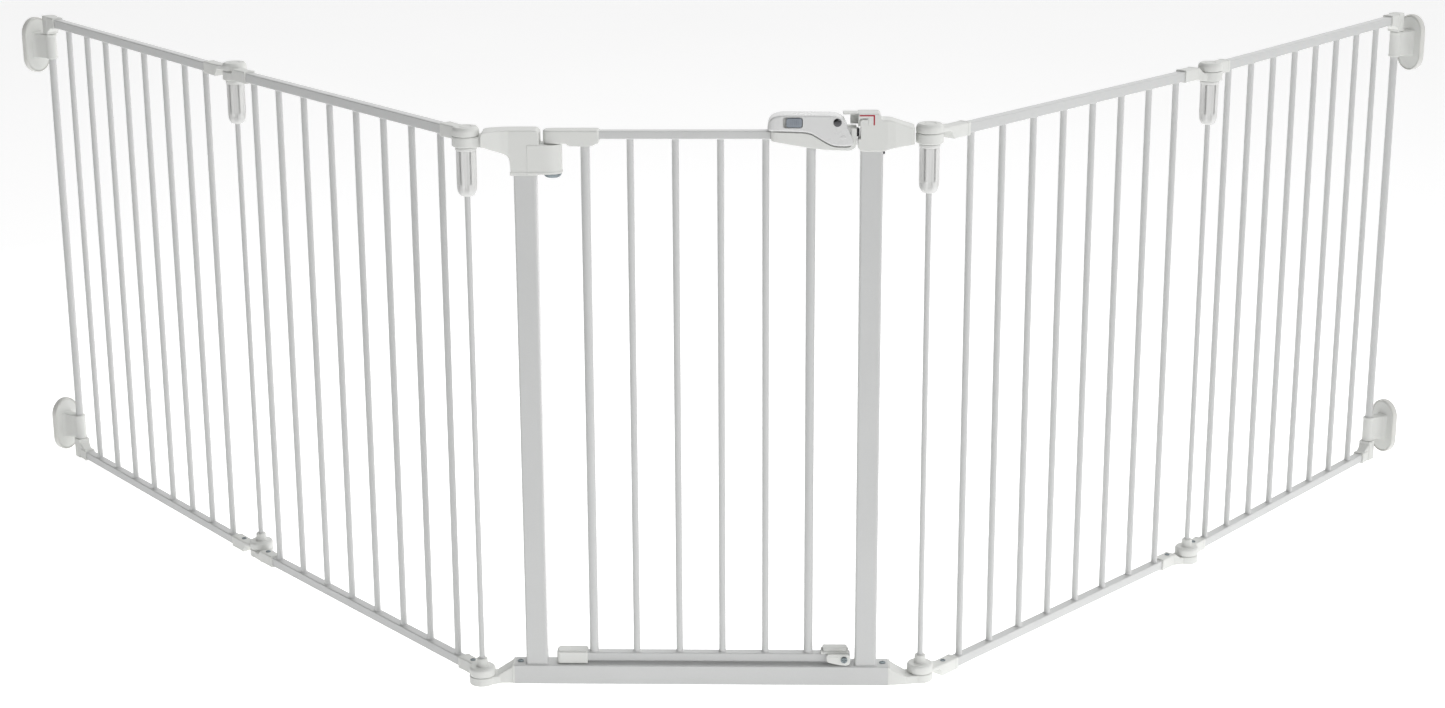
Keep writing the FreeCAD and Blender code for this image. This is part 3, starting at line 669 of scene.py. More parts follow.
@dataclass
class HingeStack:
    """Sizes of the knuckles, rings, feet and sleeves on a hinge rod."""

    knuckle_r: float = 17.5
    bore: float = 3.0
    lower: tuple[float, float] = (730.0, 743.2)
    upper: tuple[float, float] = (743.5, 755.0)
    foot: tuple[float, float] = (0.0, 11.7)
    foot_ring: tuple[float, float] = (12.0, 24.0)
    collar_top: float = 36.0
    sleeve: tuple[float, float] = (28.0, 60.0)
    rail: float = 13.5
    rail_top: float = 748.5
    rail_low: float = 2.2
    wall: float = 2.2
    screw_s: float = 37.0
    ease_from: float = 20.0
    band: float = 5.0

    def knuckle(self, x: float, y: float, z0: float, z1: float, crown: float) -> Shell:
        """A turned disc with a soft lower rim, a rounded upper rim and a ring groove on top.

        Args:
            x, y: its middle.
            z0, z1: its under side and top.
            crown: size of the upper rim.

        Returns:
            The closed shell.
        """
        r = self.knuckle_r
        profile = [(self.bore, z0), (r - 1.0, z0), (r, z0 + 1.0), (r, z1 - crown), (r - crown * 0.9, z1)]
        outer = rounded(profile, [0.5, 0.9, 0.9, crown, crown * 0.9], 5, closed=False)
        groove = [(8.2, z1), (7.8, z1 - 0.7), (7.0, z1 - 0.7), (6.6, z1), (1.0, z1)]
        return lathe(np.concatenate([outer, np.array(groove)]), x, y, 72)

    def collar(self, x: float, y: float) -> Shell:
        """The short tube on a bottom ring."""
        z0, z1 = self.foot_ring[1] - 0.5, self.collar_top
        profile = [(2.0, z0), (8.6, z0), (7.7, z0 + 1.4), (7.3, z1 - 1.2), (6.6, z1 - 0.4), (3.9, z1 - 0.4)]
        return spun(profile, 0.8, 3, x, y, 40)

    def arm(self, side: float, z0: float, z1: float, low: float, high: float) -> Shell:
        """The arm from a knuckle to its sleeve: width and height ease from the knuckle's to the sleeve's.

        Args:
            side: how far the knuckle stands off the rail's middle.
            z0, z1: the arm's heights at the knuckle.
            low, high: its heights at the sleeve.

        Returns:
            The closed shell.
        """
        half = self.rail / 2 + self.wall
        start = self.sleeve[0]
        wide = self.knuckle_r - 1.2
        rows = []
        for s in np.concatenate([[0.0, 8.0, 14.0], np.linspace(18.0, start + 1.5, 6)]):
            across = min(s / start, 1.0)
            ease = np.clip((s - self.ease_from) / (start - self.ease_from), 0, 1)
            ease = ease * ease * (3 - 2 * ease)
            rows.append((s, side * (1 - across), wide * (1 - across) + half * across - 0.05,
                         z0 + (low - z0) * ease, z1 + (high - z1) * ease, 1.5))
        return beam(rows, 0.4)

    def sleeve_shell(self, low: float, high: float) -> list[Shell]:
        """The moulded sleeve over a rail's end, with a thicker band at its mouth and a shallow step.

        Args:
            low, high: its under side and top.

        Returns:
            The sleeve and the band.
        """
        half = self.rail / 2 + self.wall
        s0, s1 = self.sleeve
        step = 0.3
        body = bar(s0, s1 - self.band, half - step, low + step, high - step, 1.8)
        return [body, bar(s1 - self.band - 0.4, s1, half, low, high, 2.0, 0.7)]

    def top_end(self, side: float, upper: bool) -> list[Shell]:
        """A top rail's end: knuckle, arm and sleeve in the panel's own axes.

        Args:
            side: how far the knuckle stands off the rail's middle.
            upper: whether its knuckle is the upper one on the rod.

        Returns:
            The closed shells.
        """
        z0, z1 = self.upper if upper else self.lower
        low, high = self.rail_top - self.rail - self.wall, self.rail_top + self.wall
        top = high - 0.1 if upper else z1 - 0.4
        base = z0 + (0.4 if upper else 1.4)
        return [self.knuckle(0, side, z0, z1, 3.2 if upper else 0.9), self.arm(side, base, top, low, high),
                *self.sleeve_shell(low, high)]

    def bottom_end(self, side: float, upper: bool) -> list[Shell]:
        """A bottom rail's end: ring and short tube, or floor knuckle, with arm and sleeve.

        Args:
            side: how far the knuckle stands off the rail's middle.
            upper: whether it has the ring, which stands on the other part's knuckle.

        Returns:
            The closed shells.
        """
        z0, z1 = self.foot_ring if upper else self.foot
        low, high = max(self.rail_low - self.wall, 0.1), self.rail_low + self.rail + self.wall
        top = high if upper else z1 - 0.4
        parts = [self.knuckle(0, side, z0, z1, 2.2 if upper else 0.9),
                 self.arm(side, z0 + 0.3, top, low, high), *self.sleeve_shell(low, high)]
        if upper:
            parts.append(self.collar(0, side))
        return parts

    def screw(self) -> Shell:
        """The screw in the top of a bottom sleeve."""
        return cross_screw(self.screw_s, 0, self.rail_low + self.rail + self.wall - 0.2, 3.6, 1.6)


@dataclass
class LockKnob:
    """The fluted clamp knob on a hinge rod."""

    radius: float = 13.6
    z: tuple[float, float] = (666.0, 729.3)
    flutes: int = 6
    depth: float = 2.4
    pocket: float = 5.0

    def shell(self, x: float, y: float) -> Shell:
        """A turned knob cut by flutes: at angle a the radius loses depth * f(a) * w(z), where f is 1 in the
        middle of a flute and 0 between them, and w rises softly at the bottom and ends sharply under the
        flange, with a deeper pocket just below it.

        Args:
            x, y: the rod that it turns on.

        Returns:
            The closed shell.
        """
        z0, z1 = self.z
        r = self.radius
        points = [(4.2, z0), (r - 4.6, z0), (r - 1.2, z0 + 7), (r - 0.8, z0 + 14), (r - 0.8, z1 - 4.6),
                  (r, z1 - 3.9), (r, z1 - 1.0), (r - 1.2, z1), (4.2, z1)]
        rough = rounded(points, [0, 3.5, 4.0, 2, 0.4, 0.4, 0.7, 0.7, 0], 5, closed=False)
        heights = np.linspace(z0 + 15, z1 - 5.0, 56)
        body = np.column_stack([np.full(len(heights), r - 0.8), heights])
        split = int(np.searchsorted(rough[:, 1], z0 + 14.9))
        profile = np.concatenate([rough[:split], body, rough[split:]])

        def flute(a: np.ndarray, z: np.ndarray) -> np.ndarray:
            """How deep the flutes cut at each angle and height."""
            wave = np.clip(0.55 - 0.75 * np.cos(self.flutes * a), 0, 1)
            rise = np.clip((z - z0 - 2.0) / 11.0, 0, 1)
            fall = np.clip((z1 - 5.0 - z) / 0.8, 0, 1)
            pocket = self.pocket * wave**2.5 * np.clip((z - z1 + 10.6) / 0.7, 0, 1)
            return (self.depth * wave**1.3 * rise * rise * (3 - 2 * rise) + pocket) * fall

        return lathe(profile, x, y, 120, flute)


@dataclass
class SidePanel:
    """One panel of bars: where it stands and the moulded ends on its rails."""

    name: str
    near_joint: str
    far_joint: str
    near_t: float
    far_t: float
    shop: Workshop
    stack: HingeStack = field(default_factory=HingeStack)
    bars: int = 8
    bar_gap: float = 72.0
    bar_pitch: float = 67.5

    def __post_init__(self) -> None:
        """Works out the panel's angle and origin from its two hinge lines."""
        near, far = self.shop.joint_at[self.near_joint][:2], self.shop.joint_at[self.far_joint][:2]
        across = far - near
        dt = self.far_t - self.near_t
        self.span = math.sqrt(across @ across - dt * dt)
        turn = math.atan2(across[1], across[0]) - math.atan2(dt, self.span)
        self.angle = math.degrees(turn)
        self.origin = near - self.near_t * np.array([-math.sin(turn), math.cos(turn)])

    def put(self, shells: Sequence[Shell]) -> list[Shell]:
        """Shells carried from the panel's axes to their place."""
        return [s.turned(self.angle).moved(self.origin[0], self.origin[1]) for s in shells]

    def far(self, shells: Sequence[Shell]) -> list[Shell]:
        """The same shells for the far end: turned half round about the panel's middle."""
        return [s.turned(180).moved(self.span) for s in shells]

    def welds(self) -> None:
        """Small fillets where bars meet the rails."""
        low, high = self.stack.rail_low + self.stack.rail, self.stack.rail_top - self.stack.rail
        places = [self.bar_gap + i * self.bar_pitch for i in range(self.bars)]
        shells = [weld(s, 0, z, up, 4.5) for s in places for z, up in ((low, 1), (high, -1))]
        self.shop.piece(self.name + "_weld_fillets", self.put(shells), body=self.name + "_panel", slot=Slot.TUBE)


def weld(x: float, y: float, z: float, up: int, radius: float) -> Shell:
    """A fillet round a bar's end: its radius falls from bar + 1.3 mm at the rail to the bar's own, in a
    hollow quarter curve.

    Args:
        x, y, z: where the bar's middle meets the rail.
        up: 1 where the bar leaves the rail upwards, else -1.
        radius: the bar's radius.

    Returns:
        The closed shell.
    """
    t = np.linspace(0, 1, 5)
    r = radius + 0.02 + 1.3 * (1 - np.sin(t * math.pi / 2))
    profile = np.column_stack([r, z + up * 1.5 * t])
    profile = np.concatenate([[[radius - 0.6, z - up * 0.05]], profile, [[radius - 0.6, z + up * 1.5]]])
    return lathe(profile if up > 0 else profile[::-1], x, y, 20)


@dataclass
class InnerPanel(SidePanel):
    """A panel between two hinge rods."""

    def build(self) -> None:
        """Makes the connectors at both ends, the screws and the welds."""
        side = self.near_t
        ends = self.stack.top_end(side, True) + self.far(self.stack.top_end(side, False))
        feet = self.stack.bottom_end(side, True) + self.far(self.stack.bottom_end(side, False))
        screws = [self.stack.screw(), *self.far([self.stack.screw()])]
        self.shop.piece(self.name + "_rail_knuckles", self.put(ends), [self.name + "_top_connectors"])
        self.shop.piece(self.name + "_floor_knuckles", self.put(feet), [self.name + "_bottom_connectors"])
        self.shop.piece(self.name + "_cross_screws", self.put(screws), [self.name + "_screws"])
        self.welds()


@dataclass
class OuterPanel(SidePanel):
    """A panel with an end post that takes the wall mounts."""

    corner_top: float = 32.5
    cap_low: float = 722.0
    socket_half: float = 10.0

    def build(self) -> None:
        """Makes the hinge connectors, the corner and cap on the end post, the screws and the welds."""
        side = self.near_t
        hinge = self.stack.top_end(side, True) + self.stack.bottom_end(side, True)
        self.shop.piece(self.name + "_hinge_knuckles", self.put(hinge), [self.name + "_hinge_connectors"])
        self.shop.piece(self.name + "_post_corners", self.put(self.cap() + self.corner()),
                        [self.name + "_end_fittings"])
        screws = [self.stack.screw()]
        self.shop.piece(self.name + "_cross_screws", self.put(screws), [self.name + "_screw"])
        self.welds()

    def socket(self, z0: float, z1: float) -> Shell:
        """A block round the end post, its plan a rounded square."""
        s, half = self.span, self.socket_half
        return slab(oblong(s - half, -half, s + half, half, [2, 5, 5, 2], 5), z0, z1, 1.4)

    def cap(self) -> list[Shell]:
        """Top cap: rail sleeve with a band at its mouth, sloping shoulder and post socket."""
        top, wall, s = self.stack.rail_top, self.stack.wall, self.span
        low, high = top - self.stack.rail - wall, top + wall
        sleeve = bar(s - 27, s, 8.7, low + 0.3, high - 0.2, 1.8, 0.6)
        band = bar(s - 32, s - 27, 9, low, high, 2.0, 0.7)
        shoulder = beam([(s - 22, 0, 8.0, low, high - 1, 1.5), (s - 15, 0, 8.6, low - 3.5, high - 1, 1.8),
                         (s - 6, 0, 9.6, self.cap_low + 1, high - 1, 2.0)], 0.4)
        return [sleeve, band, shoulder, self.socket(self.cap_low, top + 2.5)]

    def corner(self) -> list[Shell]:
        """Bottom corner: rail sleeve with a band, a web rising to the post socket and a foot."""
        s = self.span
        high = self.stack.rail_low + self.stack.rail + self.stack.wall
        sleeve = bar(s - 25, s, 8.7, 0.3, high - 0.2, 1.8, 0.6)
        band = bar(s - 30, s - 25, 9, 0.0, high, 2.0, 0.7)
        web = beam([(s - 24, 0, 6.5, 2, high - 0.5, 1.5), (s - 17, 0, 7.5, 2, high + 4, 1.8),
                    (s - 6, 0, 9.2, 1, self.corner_top - 2, 2.0)], 0.4)
        return [sleeve, band, web, self.socket(0.0, self.corner_top)]


@dataclass
class WallMount:
    """A swivelling bracket on an end post and the dished cup that it sits in."""

    name: str
    level: str
    angle: float
    shop: Workshop
    width: float = 52.0
    height: float = 90.0
    reach: float = 30.0
    cup_back: float = 39.0
    sleeve_r: float = 9.2
    post_r: float = 6.0
    screw_pitch: float = 56.0
    screw_r: float = 2.4
    half: float = 20.3
    dish: float = 5.2

    def build(self) -> None:
        """Makes the bracket and the cup about the end post."""
        key = f"{self.name}_{self.level}_wall"
        low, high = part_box(key + "_bracket")
        middle = (low.z + high.z) / 2 / MM
        post = self.shop.joint_at[f"{key}_turn"]
        holes = [lathe(np.array([(self.screw_r, self.reach), (self.screw_r, self.cup_back + 1)]), 0, 0, 24)
                 .axes((2, 1, 0)).moved(0, 0, k * self.screw_pitch / 2) for k in (-1, 1)]
        arm, cup, holes = ([s.turned(self.angle).moved(post[0], post[1], middle) for s in group]
                           for group in (self.bracket(), [self.cup()], holes))
        self.shop.piece(key + "_swivel_arm", arm, [key + "_bracket"])
        self.shop.piece(key + "_dish", cup, [key + "_cup"], cutters=holes)

    def bracket(self) -> list[Shell]:
        """The sleeve on the end post, the arm that flares at its root, and the plate that fills the cup."""
        half, r, step, reach = self.half, self.sleeve_r, 0.35, self.reach
        right = [(r - 0.9, -half), (r, 0.9 - half), (r, 3.4 - half), (r - step, 4.0 - half)]
        ring = [(self.post_r + 0.1, -half), *right, *((u, -v) for u, v in right[::-1]), (self.post_r + 0.1, half)]
        arm = beam([(s, 0, wide, -half - more, half + more, radius) for s, wide, more, radius in (
            (3.0, 7.4, -0.6, 1.6), (reach - 9, 7.5, -0.6, 1.6), (reach - 4, 8.1, -0.2, 1.9),
            (reach - 1.2, 10.0, 0.6, 2.6), (reach + 1.0, 12.5, 1.6, 3.6))], 0.3)
        plate = stadium(self.width - self.dish, self.height - self.dish, [
            (2.0, reach), (1.0, reach + 0.15), (0.35, reach + 0.5), (0.0, reach + 1.2), (0.0, reach + 3.9)])
        return [spun(ring, 0.5, 3), arm, plate]

    def cup(self) -> Shell:
        """The dish: a rolled lip round the plate, a straight wall and a softened back edge."""
        reach, back = self.reach, self.cup_back
        return stadium(self.width, self.height, [
            (2.6, reach + 3.95), (2.5, reach + 0.4), (2.1, reach - 0.2), (1.4, reach - 0.5), (0.7, reach - 0.2),
            (0.25, reach + 0.6), (0.0, reach + 2.0), (0.0, back - 1.2), (0.4, back - 0.3), (1.2, back)])


@dataclass
class GateFrame:
    """The fixed frame: post brackets, feet, pins and screws."""

    shop: Workshop
    stack: HingeStack = field(default_factory=HingeStack)
    rod_x: float = 292.0
    rod_y: float = 10.0
    pin_x: float = -184.0
    half_depth: float = 15.0
    threshold_half: float = 248.5
    threshold_h: float = 27.0
    keeper_x: float = 201.0
    clear: float = 19.5
    arm_half: float = 16.3
    post_x: float = 218.5
    pin_r: float = 3.0

    def build(self) -> None:
        """Makes all the mouldings of the frame."""
        shop = self.shop
        shop.piece("hinge_post_bracket", self.left_bracket(), ["left_post_bracket"])
        shop.piece("latch_post_bracket", self.right_bracket(), ["right_post_bracket"], cutters=self.keeper_cuts())
        strip = Edge([(202.5, 768.3), (219.9, 768.3), (219.9, 757.0), (221.8, 757.0), (221.8, 770.1),
                      (202.5, 770.1)], 0.5, 3)
        shop.piece("red_lock_mark", [front(strip, -15.2, -13.0, 0.25)], ["lock_indicator"])
        grub = spun([(0.6, 232.4), (2.3, 232.4), (2.3, 234.6), (1.2, 235.4), (0.6, 235.4)], 0.4, 3, segments=28)
        grub = grub.axes((2, 1, 0)).moved(0, 0, 719.4)
        shop.piece("bracket_grub_screw", [grub], body="gate_frame", slot=Slot.RIVET)
        feet = self.foot() + [s.turned(180) for s in self.foot()]
        shop.piece("threshold_feet", feet, ["gate_foot_connectors"])
        x = self.threshold_half - 7
        screws = [cross_screw(s * x, 0, self.threshold_h + 0.1, 4.3, 1.9) for s in (-1, 1)]
        shop.piece("threshold_cross_screws", screws, ["frame_screws"])
        shop.piece("door_pins", self.pins(), ["door_hinge_pins"])
        self.post_welds()

    def plate_arm(self, side: int, near: float, narrow: float) -> list[Shell]:
        """The level arm from a post to its rod, and the knuckle at its end.

        Args:
            side: -1 for the hinge post, 1 for the latch post.
            near: where the post's moulding ends.
            narrow: the arm's width there, on the side away from the rod.

        Returns:
            The knuckle and the arm.
        """
        x, y = side * self.rod_x, side * self.rod_y
        reach, root = self.arm_half, (side * 236.0, 14.6)
        first, last = [(x, y - reach)], [(x, y + reach)]
        if side < 0:
            plan = [*first, (root[0], -root[1]), root, (near, narrow), *last]
        else:
            plan = [*first, (near, -narrow), (root[0], -root[1]), root, *last]
        return [self.stack.knuckle(x, y, *self.stack.lower, 0.9), slab(Edge(plan, 1.0, 3), 730.1, 742.9, 1.2)]

    def left_bracket(self) -> list[Shell]:
        """Knuckle, arm, post sleeve with a step at its foot, and the block that holds the door's pin."""
        near, d = -self.rod_x + self.clear, self.half_depth
        under = rounded([(near, 730.2), (-268.0, 729.6), (-240.0, 718.2), (-237.0, 712.0), (-236.0, 697.0),
                         (-232.5, 692.6), (-199.6, 692.6)], [0, 6, 3, 2, 2.5, 2.5, 0], 5, closed=False)
        over = rounded([(near, 746.4), (near + 2.2, 749.4), (near + 8, 750.3), (-203.2, 750.3), (-199.6, 747.4)],
                       [0, 2, 3, 2.5, 0], 5, closed=False)
        between = [*np.linspace(near, -236, 16), -205.0, -199.6]
        middle = [(near, -9.75), (-262, -6.75), (-248, -1.8), (-238, 0), (-199.6, 0)]
        half = [(near, 16.75), (-262, 16.25), (-248, 15.4), (-238, d), (-199.6, d)]
        body = beam(stations(under, over, between, middle, half, 2.0), 1.4, 4)
        band = front(oblong(-237.0, 692.4, -203.7, 697.3, 1.4, 3), -d - 0.5, d + 0.5, 0.6)
        plan = Edge([(-215, -15.4), (-186, -15.4), (-174.0, -10.0), (-170.7, 0), (-174.0, 10.0), (-186, 15.4),
                     (-215, 15.4)], [0.6, 9, 7, 6, 7, 9, 0.6], 6)
        block = slab(plan, 694.0, 731.6, 1.1)
        skirt = slab(plan.shrunk(-0.55), 693.9, 697.2, 0.6)
        ledge = slab(plan.shrunk(-0.15), 727.6, 731.5, 0.6)
        knuckle, arm = self.plate_arm(-1, near, 7.6)
        return [knuckle, body, band, block, skirt, ledge, arm]

    def right_bracket(self) -> list[Shell]:
        """Keeper with its thin lip and back plate, post sleeve and knuckle arm."""
        far, left, d = self.rod_x - self.clear, self.keeper_x, self.half_depth
        under = rounded([(left, 727.0), (205.0, 723.1), (232.0, 723.0), (246.0, 727.3), (far, 730.2)],
                        [0, 3.5, 8, 8, 0], 6, closed=False)
        over = rounded([(left, 771.7), (228.6, 771.7), (230.4, 763.6), (242.5, 763.0), (257.0, 757.0), (far, 751.5)],
                       [0, 3.0, 2.0, 5, 6, 0], 6, closed=False)
        middle = [(left, 0), (238, 0), (248, 1.8), (262, 6.75), (far, 9.75)]
        half = [(left, d), (238, d), (248, 15.4), (262, 16.25), (far, 16.75)]
        body = beam(stations(under, over, np.linspace(236, far, 16), middle, half, 2.0), 1.2, 4)
        lip = front(oblong(182.2, 769.4, 206.0, 771.6, 0.9, 3), -8.0, 8.0, 0.7)
        plate = front(oblong(191.5, 755.5, 206.0, 770.4, 1.2, 3), 4.0, 7.4, 0.6)
        rib = front(oblong(213.6, 757.0, 216.2, 766.6, 1.0, 4), -d - 0.45, -d + 2, 0.4)
        knuckle, arm = self.plate_arm(1, far, 7.6)
        return [knuckle, body, lip, plate, rib, arm]

    def keeper_cuts(self) -> list[Shell]:
        """The bolt's slot, and a groove that outlines the keeper block on the front."""
        left, d = self.keeper_x, self.half_depth
        slot = oblong(left - 2, 739.0, left + 3.4, 755.0, 0.6, 3)
        groove = Edge([(left + 0.6, 754.0), (left + 2.6, 754.0), (left + 2.8, 761.6), (left + 4.6, 763.6),
                       (left + 11.8, 764.0), (left + 11.8, 766.0), (left + 3.2, 765.6), (left + 0.8, 763.2)], 0.6, 3)
        return [front(slot, -d - 2, d + 2, CUT_RIM, 1), front(groove, -d - 1, -d + 3.6, CUT_RIM, 1)]

    def foot(self) -> list[Shell]:
        """Left foot: stepped end block on the threshold, arm and floor knuckle."""
        end = -self.threshold_half
        h = self.threshold_h
        block = beam([(end - 24.0, -1.5, 13.0, 0.1, 12.2, 1.8), (end - 16, -0.8, 13.6, 0.1, 16.8, 2.0),
                      (end - 8, 0, 14.0, 0.1, h - 5.4, 2.2), (end - 2, 0, 14.2, 0.1, h - 1.2, 2.2),
                      (end + 1, 0, 14.2, 0.1, h - 0.6, 2.2)], 0.8)
        flange = bar(end - 3.2, end + 0.2, 14.9, 0.0, h - 0.1, 2.4, 0.7)
        plan = Edge([(-self.rod_x, -self.rod_y - 16.4), (end - 18, -13.8), (end - 18, 11.8),
                     (-self.rod_x, -self.rod_y + 16.4)], 1.0, 3)
        arm = slab(plan, 0.1, self.stack.foot[1] - 0.4, 1.0)
        return [block, flange, arm, self.stack.knuckle(-self.rod_x, -self.rod_y, *self.stack.foot, 0.9)]

    def pins(self) -> list[Shell]:
        """The door's upper pin with its domed cap, and the lower pin."""
        x, r = self.pin_x, self.pin_r
        upper, lower = (lathe(np.array([(1.0, z0), (r, z0), (r, z1 - 0.6), (r - 0.6, z1), (1.0, z1)]), x, 0, 32)
                        for z0, z1 in ((689.0, 744.0), (25.6, 42.0)))
        cap = [(1.0, 687.7), (7.4, 687.8), (10.0, 689.2), (11.4, 691.6), (11.5, 693.9), (1.0, 693.9)]
        return [upper, spun(cap, 1.6, 4, x, 0, 48), lower]

    def post_welds(self) -> None:
        """Weld seams round the feet of the posts: each ring stands out by 1.6 (1 - sin(90 t)) and up by 1.7 t."""
        half_x, half_y = 14.6, 12.8
        t = np.linspace(0, 1, 5)
        out = 1.6 * (1 - np.sin(t * math.pi / 2))
        rises = self.threshold_h + 1.7 * np.concatenate([t, [1.0]])
        shells = []
        for x in (-self.post_x, self.post_x):
            plan = oblong(x - half_x, -half_y, x + half_x, half_y, 3.2, 6)
            rings = [plan.ring(0.35 - o) for o in out] + [plan.ring(0.9)]
            shells.append(skin(np.stack([np.column_stack([g, np.full(len(g), z)]) for g, z in zip(rings, rises)])))
        self.shop.piece("post_foot_welds", shells, body="gate_frame", slot=Slot.TUBE)


@dataclass
class Door:
    """The walk-through door: hinge mouldings, latch base, stop and welds."""

    shop: Workshop
    pin_x: float = -184.0
    upright_x: float = 142.5
    pitch: float = 57.0
    rail_top: tuple[float, float] = (737.6, 748.0)
    rail_low: tuple[float, float] = (30.4, 42.4)
    rivet: tuple[float, float] = (175.1, 760.4)
    stop_screw: tuple[float, float] = (190.0, 37.2)

    def build(self) -> None:
        """Makes the mouldings of the door."""
        shop = self.shop
        shop.piece("door_hinge_arm", self.hinge_arm(), ["door_hinge_bracket"])
        shop.piece("door_hinge_foot", self.hinge_foot(), ["door_hinge_block"])
        shop.piece("latch_body", *self.latch_body())
        shop.piece("rivet_turned", self.rivet_pin(), ["handle_rivet"])
        shop.piece("return_spring", [self.spring()], ["handle_spring"])
        shop.piece("bottom_latch_cap", self.latch_cap(), ["bottom_latch_housing"])
        shop.piece("stop_bolt", self.stop_bolt(), ["stop_screw"])
        shop.piece("stop_lever", self.stop_lever(), ["swivel_stop"])
        self.welds()

    def hinge_arm(self) -> list[Shell]:
        """Arm over the pin block, with the rounded boot under the rail's end."""
        x = self.pin_x
        plan = Edge([(x - 11.6, 0), (x - 10, -9.0), (x, -11.8), (-124.4, -11.8), (-124.4, 11.8), (x, 11.8),
                     (x - 10, 9.0)], [7, 5, 6, 2.5, 2.5, 6, 5], 6)
        top = slab(plan, 732.1, 749.4, 2.4, 5)
        boot = Edge([(-166.0, 740.0), (-166.0, 732.6), (-162.0, 729.2), (-132.0, 729.2), (-124.3, 735.6),
                     (-124.3, 740.0)], [0.5, 2, 4, 6, 5, 0.5], 5)
        return [top, front(boot, -11.75, 11.75)]

    def hinge_foot(self) -> list[Shell]:
        """Block on the lower pin, rounded at its outer end, with a raised web."""
        plan = oblong(-192.2, -10.8, -151.0, 10.8, [6, 1.5, 1.5, 6], 6)
        block = slab(plan, 27.9, 44.2, 1.2)
        crown = slab(plan.shrunk(1.6), 43.6, 45.9, 1.0)
        return [block, crown]

    def latch_body(self) -> tuple[list[Shell], list[str], str, Optional[Slot], list[Shell]]:
        """The moulded body under the handle, with the bolt's channel cut through its end."""
        under = rounded([(91.7, 737.0), (93.4, 735.3), (127.5, 729.2), (158.8, 724.6), (190.0, 723.6), (197.0, 726.5),
                         (199.4, 731.0)], [0, 1.2, 10, 10, 5, 3, 0], 6, closed=False)
        over = rounded([(91.7, 754.0), (94.0, 761.5), (104.0, 765.6), (178.0, 765.3), (184.0, 763.4), (184.4, 753.5),
                        (199.4, 753.0)], [0, 4, 5, 4, 1.5, 0.8, 0], 5, closed=False)
        half = [(91.7, 9.2), (93, 10.6), (96, 11.8), (100, 12.3), (104, 12.4), (196, 12.4), (199.4, 12.0)]
        middle = [(91.7, 0), (199.4, 0)]
        body = beam(stations(under, over, np.linspace(91.7, 104, 12), middle, half, 1.6), 0.8, 4)
        channel = bar(160.0, 201.0, 5.0, 740.7, 751.3, 0.8, 0.1)
        line = Edge([(88.0, 747.4), (114.0, 746.8), (136.0, 746.0), (144.0, 743.6), (152.0, 738.6), (166.0, 730.1),
                     (174.8, 728.1), (188.0, 728.2), (192.6, 729.4), (192.6, 772.0), (88.0, 772.0)],
                    [0.5, 8, 8, 8, 8, 8, 6, 3, 2, 1, 1], 5)
        rebates = [front(line, y0, y1, CUT_RIM, 1) for y0, y1 in ((-14.0, -10.3), (10.3, 14.0))]
        return [body], ["latch_base"], "", None, [channel, *rebates]

    def rivet_pin(self) -> list[Shell]:
        """The handle's pivot: turned shank with a domed head at each side."""
        x, z = self.rivet
        head = [(3.0, 15.4), (5.3, 15.45), (5.2, 15.9), (4.2, 16.6), (2.4, 17.0), (0.4, 17.1)]
        profile = [(r, -y) for r, y in head[::-1]] + head
        return [spun(profile, 0.5, 3, segments=48).axes((0, 2, 1)).moved(x, 0, z)]

    def spring(self) -> Shell:
        """A wound wire round the rivet: (3.5 cos a, pitch a, 3.5 sin a) over five and a half turns."""
        a = np.linspace(0, 11 * math.pi, 240)
        x, z = self.rivet
        path = np.column_stack([x + 3.5 * np.cos(a), 5.1 + 5.6 * a / a[-1], z + 3.5 * np.sin(a)])
        return pipe(path, 0.38)

    def latch_cap(self) -> list[Shell]:
        """The domed cap on the bottom rail's latch end, with a lower step."""
        return [bar(159.2, 196.0, 9.3, 42.1, 46.0, 1.6), bar(161.5, 194.0, 7.6, 45.0, 50.9, 2.6, 2.0, 4)]

    def stop_bolt(self) -> list[Shell]:
        """The screw that the stop turns on, with a cross recess in its head."""
        x, z = self.stop_screw
        shank = lathe(np.array([(0.8, -16.2), (2.0, -16.2), (2.0, -7.0), (0.8, -7.0)]), 0, 0, 24)
        head = cross_screw(0, 0, 0, 4.4, 1.6)
        head = Shell(np.column_stack([head.verts[:, 0], -16.1 - head.verts[:, 2], head.verts[:, 1]]),
                     head.quads, head.caps).outward()
        return [shank.axes((0, 2, 1)).moved(x, 0, z), head.moved(x, 0, z)]

    def stop_lever(self) -> list[Shell]:
        """The swivelling stop: a flat tongue with a round end and a boss behind it."""
        x, z = self.stop_screw
        edge = Edge([(198.4, 28.3), (198.4, 44.2), (169.0, 44.6), (166.6, 42.0), (166.8, 35.0), (169.5, 32.6),
                     (184.0, 29.2)], [7.2, 7.2, 2.5, 2, 2, 3, 8], 8)
        plate = front(edge, -15.6, -10.5, 1.1)
        rib = front(Edge([(184.6, 41.2), (169.6, 41.8), (169.4, 39.6), (184.6, 38.6)], 1.0, 4), -16.1, -15.0, 0.4)
        boss = spun([(1.0, -10.8), (4.5, -10.8), (4.5, -7.3), (1.0, -7.3)], 0.4, 3, segments=32)
        return [plate, rib, boss.axes((0, 2, 1)).moved(x, 0, z)]

    def welds(self) -> None:
        """Fillets where the bars and uprights meet the two rails."""
        xs = [((i - 1.5) * self.pitch, 4.5) for i in range(4)] + [(-self.upright_x, 6.0), (self.upright_x, 6.0)]
        ends = ((self.rail_low[1], 1), (self.rail_top[0], -1))
        shells = [weld(x, 0, z, up, r) for x, r in xs for z, up in ends]
        self.shop.piece("door_weld_fillets", shells, body="door", slot=Slot.TUBE)


